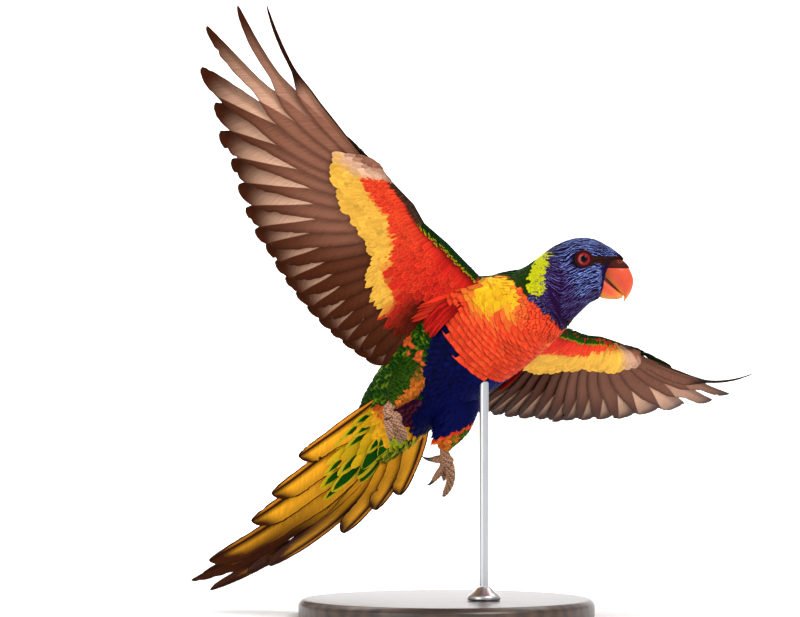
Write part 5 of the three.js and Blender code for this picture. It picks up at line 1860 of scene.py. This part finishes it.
class LorikeetFeet(bpy.types.Operator):
    """Shanks, toes and claws"""

    bl_idname = "lorikeet.feet"
    bl_label = "Feet"

    def execute(self, context):
        scales = tinted_material("foot_scales", 0.7, 1400, 0.0003, 0.35)
        horn = tinted_material("claw_horn", 0.35, 800, 0.00005, 0.15)
        for side in LEGS:
            made = piece(f"scaled_foot_{side}", foot_parts(side), scales, "foot")
            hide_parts(f"foot_{side}")
            made = piece(f"claws_{side}", claw_parts(side), horn, "claw")
            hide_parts(*(f"claw_{side}_{k}" for k in range(1, 5)))
        return {"FINISHED"}


def wood_material(name, colour):
    """Dark turned wood: growth rings as bands along x, bent by noise, with fine pores."""
    add, output = new_material(name)
    place = add("TexCoord").outputs["Object"]
    squeezed = add("Mapping", {"Vector": place, "Scale": (14, 160, 160)})
    pores = {"Vector": squeezed, "Scale": 1.0, "Detail": 6.0, "Roughness": 0.65, "Distortion": 0.6}
    grain = add("TexNoise", pores)
    years = {"Vector": place, "Scale": 45.0, "Distortion": 6.0, "Detail": 3.0}
    bands = add("TexWave", years, wave_type="BANDS", bands_direction="Y")
    level = add("Math", {0: bands.outputs["Fac"], 1: 0.35, 2: grain}, operation="MULTIPLY_ADD")
    span = {"Value": level, "From Min": 0.35, "From Max": 0.95, "To Min": 0.45, "To Max": 1.9}
    ramp = add("MapRange", span)
    tinted = add("VectorMath", {0: tuple(colour), 1: ramp}, operation="MULTIPLY")
    bump = add("Bump", {"Height": grain, "Strength": 0.25, "Distance": 0.0002})
    sockets = {"Base Color": tinted, "Roughness": 0.38, "Normal": bump}
    sockets |= {"Coat Weight": 0.25, "Coat Roughness": 0.2}
    return output(add("BsdfPrincipled", sockets))


def steel_material(name):
    """Brushed steel: fine grooves round the rod in roughness and height."""
    add, output = new_material(name)
    place = add("TexCoord").outputs["Object"]
    squeezed = add("Mapping", {"Vector": place, "Scale": (300, 300, 6000)})
    grain = add("TexNoise", {"Vector": squeezed, "Scale": 1.0, "Detail": 2.0})
    rough = add("MapRange", {"Value": grain, "To Min": 0.22, "To Max": 0.4})
    bump = add("Bump", {"Height": grain, "Strength": 0.1, "Distance": 0.00005})
    sockets = {"Base Color": (0.62, 0.63, 0.65, 1), "Metallic": 1.0}
    sockets |= {"Roughness": rough, "Normal": bump}
    return output(add("BsdfPrincipled", sockets))


class LorikeetStand(bpy.types.Operator):
    """Turned base, collar and rod"""

    bl_idname = "lorikeet.stand"
    bl_label = "Stand"

    def execute(self, context):
        r, h, e = BASE_RADIUS, BASE_THICKNESS, BASE_CHAMFER
        wood = wood_material("base_wood", context.scene.lorikeet_colours.wood)
        steel = steel_material("rod_steel")
        base = rounded([[0.01, 0], [r, 0], [r, h - e], [r - e, h], [0.01, h]], 1.2)
        parts = [turned_part(base, (0, 0), 160, WHITE)]
        made = piece("turned_base", parts, wood, "base_wood", world=True, sharp=35)
        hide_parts("stand_base")
        r, h, foot = COLLAR_RADIUS, COLLAR_HEIGHT, BASE_THICKNESS + GAP
        neck = ROD_RADIUS + 0.8
        collar = [[0.01, 0], [r, 0], [r, h * 0.3], [r * 0.55, h * 0.75], [neck, h], [0.01, h]]
        parts = [turned_part(rounded(collar, 0.8) + [0, foot], ROD_AT, 72, WHITE)]
        made = piece("turned_collar", parts, steel, "rod_steel", world=True, sharp=35)
        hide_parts("stand_collar")
        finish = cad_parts["stand_rod"].data.materials
        finish.clear()
        finish.append(steel)
        return {"FINISHED"}


class LorikeetStage(bpy.types.Operator):
    """Pale floor that rises into a backdrop, soft lights and the camera"""

    bl_idname = "lorikeet.stage"
    bl_label = "Stage"

    def execute(self, context):
        scene = context.scene
        angle = np.linspace(0, np.pi / 2, 24)
        rise = np.stack([BEND_AT + BEND_RADIUS * np.sin(angle), BEND_RADIUS * (1 - np.cos(angle))], -1)
        profile = np.concatenate([[[-4, 0]], rise, [[BEND_AT + BEND_RADIUS, WALL_TOP]]])
        x = np.array([-6.0, 6.0])
        depth, height = (np.repeat(profile[:, k : k + 1], 2, 1) for k in (0, 1))
        points = np.stack([np.broadcast_to(x, depth.shape), depth, height], -1)
        mesh = bpy.data.meshes.new("floor")
        row = np.arange(len(profile) - 1) * 2
        faces = np.stack([row, row + 1, row + 3, row + 2], -1)
        mesh.from_pydata(points.reshape(-1, 3).tolist(), [], faces.tolist())
        mesh.polygons.foreach_set("use_smooth", np.ones(len(mesh.polygons), bool))
        add, output = new_material("pale_paper")
        place = add("TexCoord").outputs["Object"]
        noise = add("TexNoise", {"Vector": place, "Scale": 900.0})
        bump = add("Bump", {"Height": noise, "Strength": 0.05, "Distance": 0.0002})
        sockets = {"Base Color": (0.9, 0.9, 0.9, 1), "Roughness": 0.9, "Normal": bump}
        shader = add("BsdfPrincipled", sockets)
        mesh.materials.append(output(shader))
        floor = bpy.data.objects.new("floor", mesh)
        scene.collection.objects.link(floor)
        world = bpy.data.worlds.new("studio")
        world.use_nodes = True
        sky = world.node_tree.nodes["Background"].inputs
        sky["Color"].default_value, sky["Strength"].default_value = (1, 1, 1, 1), SKY_STRENGTH
        scene.world = world
        for name, (place, aim, size, power) in LIGHTS.items():
            light = bpy.data.lights.new(name, "AREA")
            light.energy, light.size = power, size
            lamp = bpy.data.objects.new(name, light)
            lamp.location = place
            lamp.rotation_euler = (Vector(aim) - Vector(place)).to_track_quat("-Z", "Y").to_euler()
            scene.collection.objects.link(lamp)
        camera = bpy.data.cameras.new("camera")
        camera.lens, camera.sensor_width = CAMERA_LENS, SENSOR
        camera.clip_start, camera.clip_end = 0.05, 50
        holder = bpy.data.objects.new("camera", camera)
        holder.location = CAMERA_AT
        holder.rotation_euler = (np.pi / 2, 0, 0)
        scene.collection.objects.link(holder)
        scene.camera = holder
        scene.view_settings.view_transform = "Standard"
        return {"FINISHED"}


OPERATORS = (
    LorikeetSkin,
    LorikeetBodyCoat,
    LorikeetPlumes,
    LorikeetHeadCoat,
    LorikeetLegCoat,
    LorikeetWings,
    LorikeetTail,
    LorikeetBill,
    LorikeetEyes,
    LorikeetFeet,
    LorikeetStand,
    LorikeetStage,
)


class LorikeetPanel(bpy.types.Panel):
    """The lorikeet's pieces, sizes and colours"""

    bl_idname = "VIEW3D_PT_lorikeet"
    bl_label = "Rainbow Lorikeet"
    bl_space_type = "VIEW_3D"
    bl_region_type = "UI"
    bl_category = "Lorikeet"

    def draw(self, context):
        for group in (context.scene.lorikeet_sizes, context.scene.lorikeet_colours):
            for key in group.bl_rna.properties.keys():
                if key not in NOT_SHOWN:
                    self.layout.prop(group, key)
        for operator in OPERATORS:
            self.layout.operator(operator.bl_idname)


CLASSES = (LorikeetColours, LorikeetSizes, *OPERATORS, LorikeetPanel)


def register():
    """Registers the classes and hangs both groups on the scene."""
    for item in CLASSES:
        bpy.utils.register_class(item)
    bpy.types.Scene.lorikeet_colours = PointerProperty(type=LorikeetColours)
    bpy.types.Scene.lorikeet_sizes = PointerProperty(type=LorikeetSizes)


def unregister():
    """Removes the groups and classes."""
    del bpy.types.Scene.lorikeet_sizes
    del bpy.types.Scene.lorikeet_colours
    for item in reversed(CLASSES):
        bpy.utils.unregister_class(item)


def main():
    """Builds every piece and the stage."""
    register()
    for operator in OPERATORS:
        group, name = operator.bl_idname.split(".")
        getattr(getattr(bpy.ops, group), name)()
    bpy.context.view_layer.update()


if __name__ == "__main__":
    main()
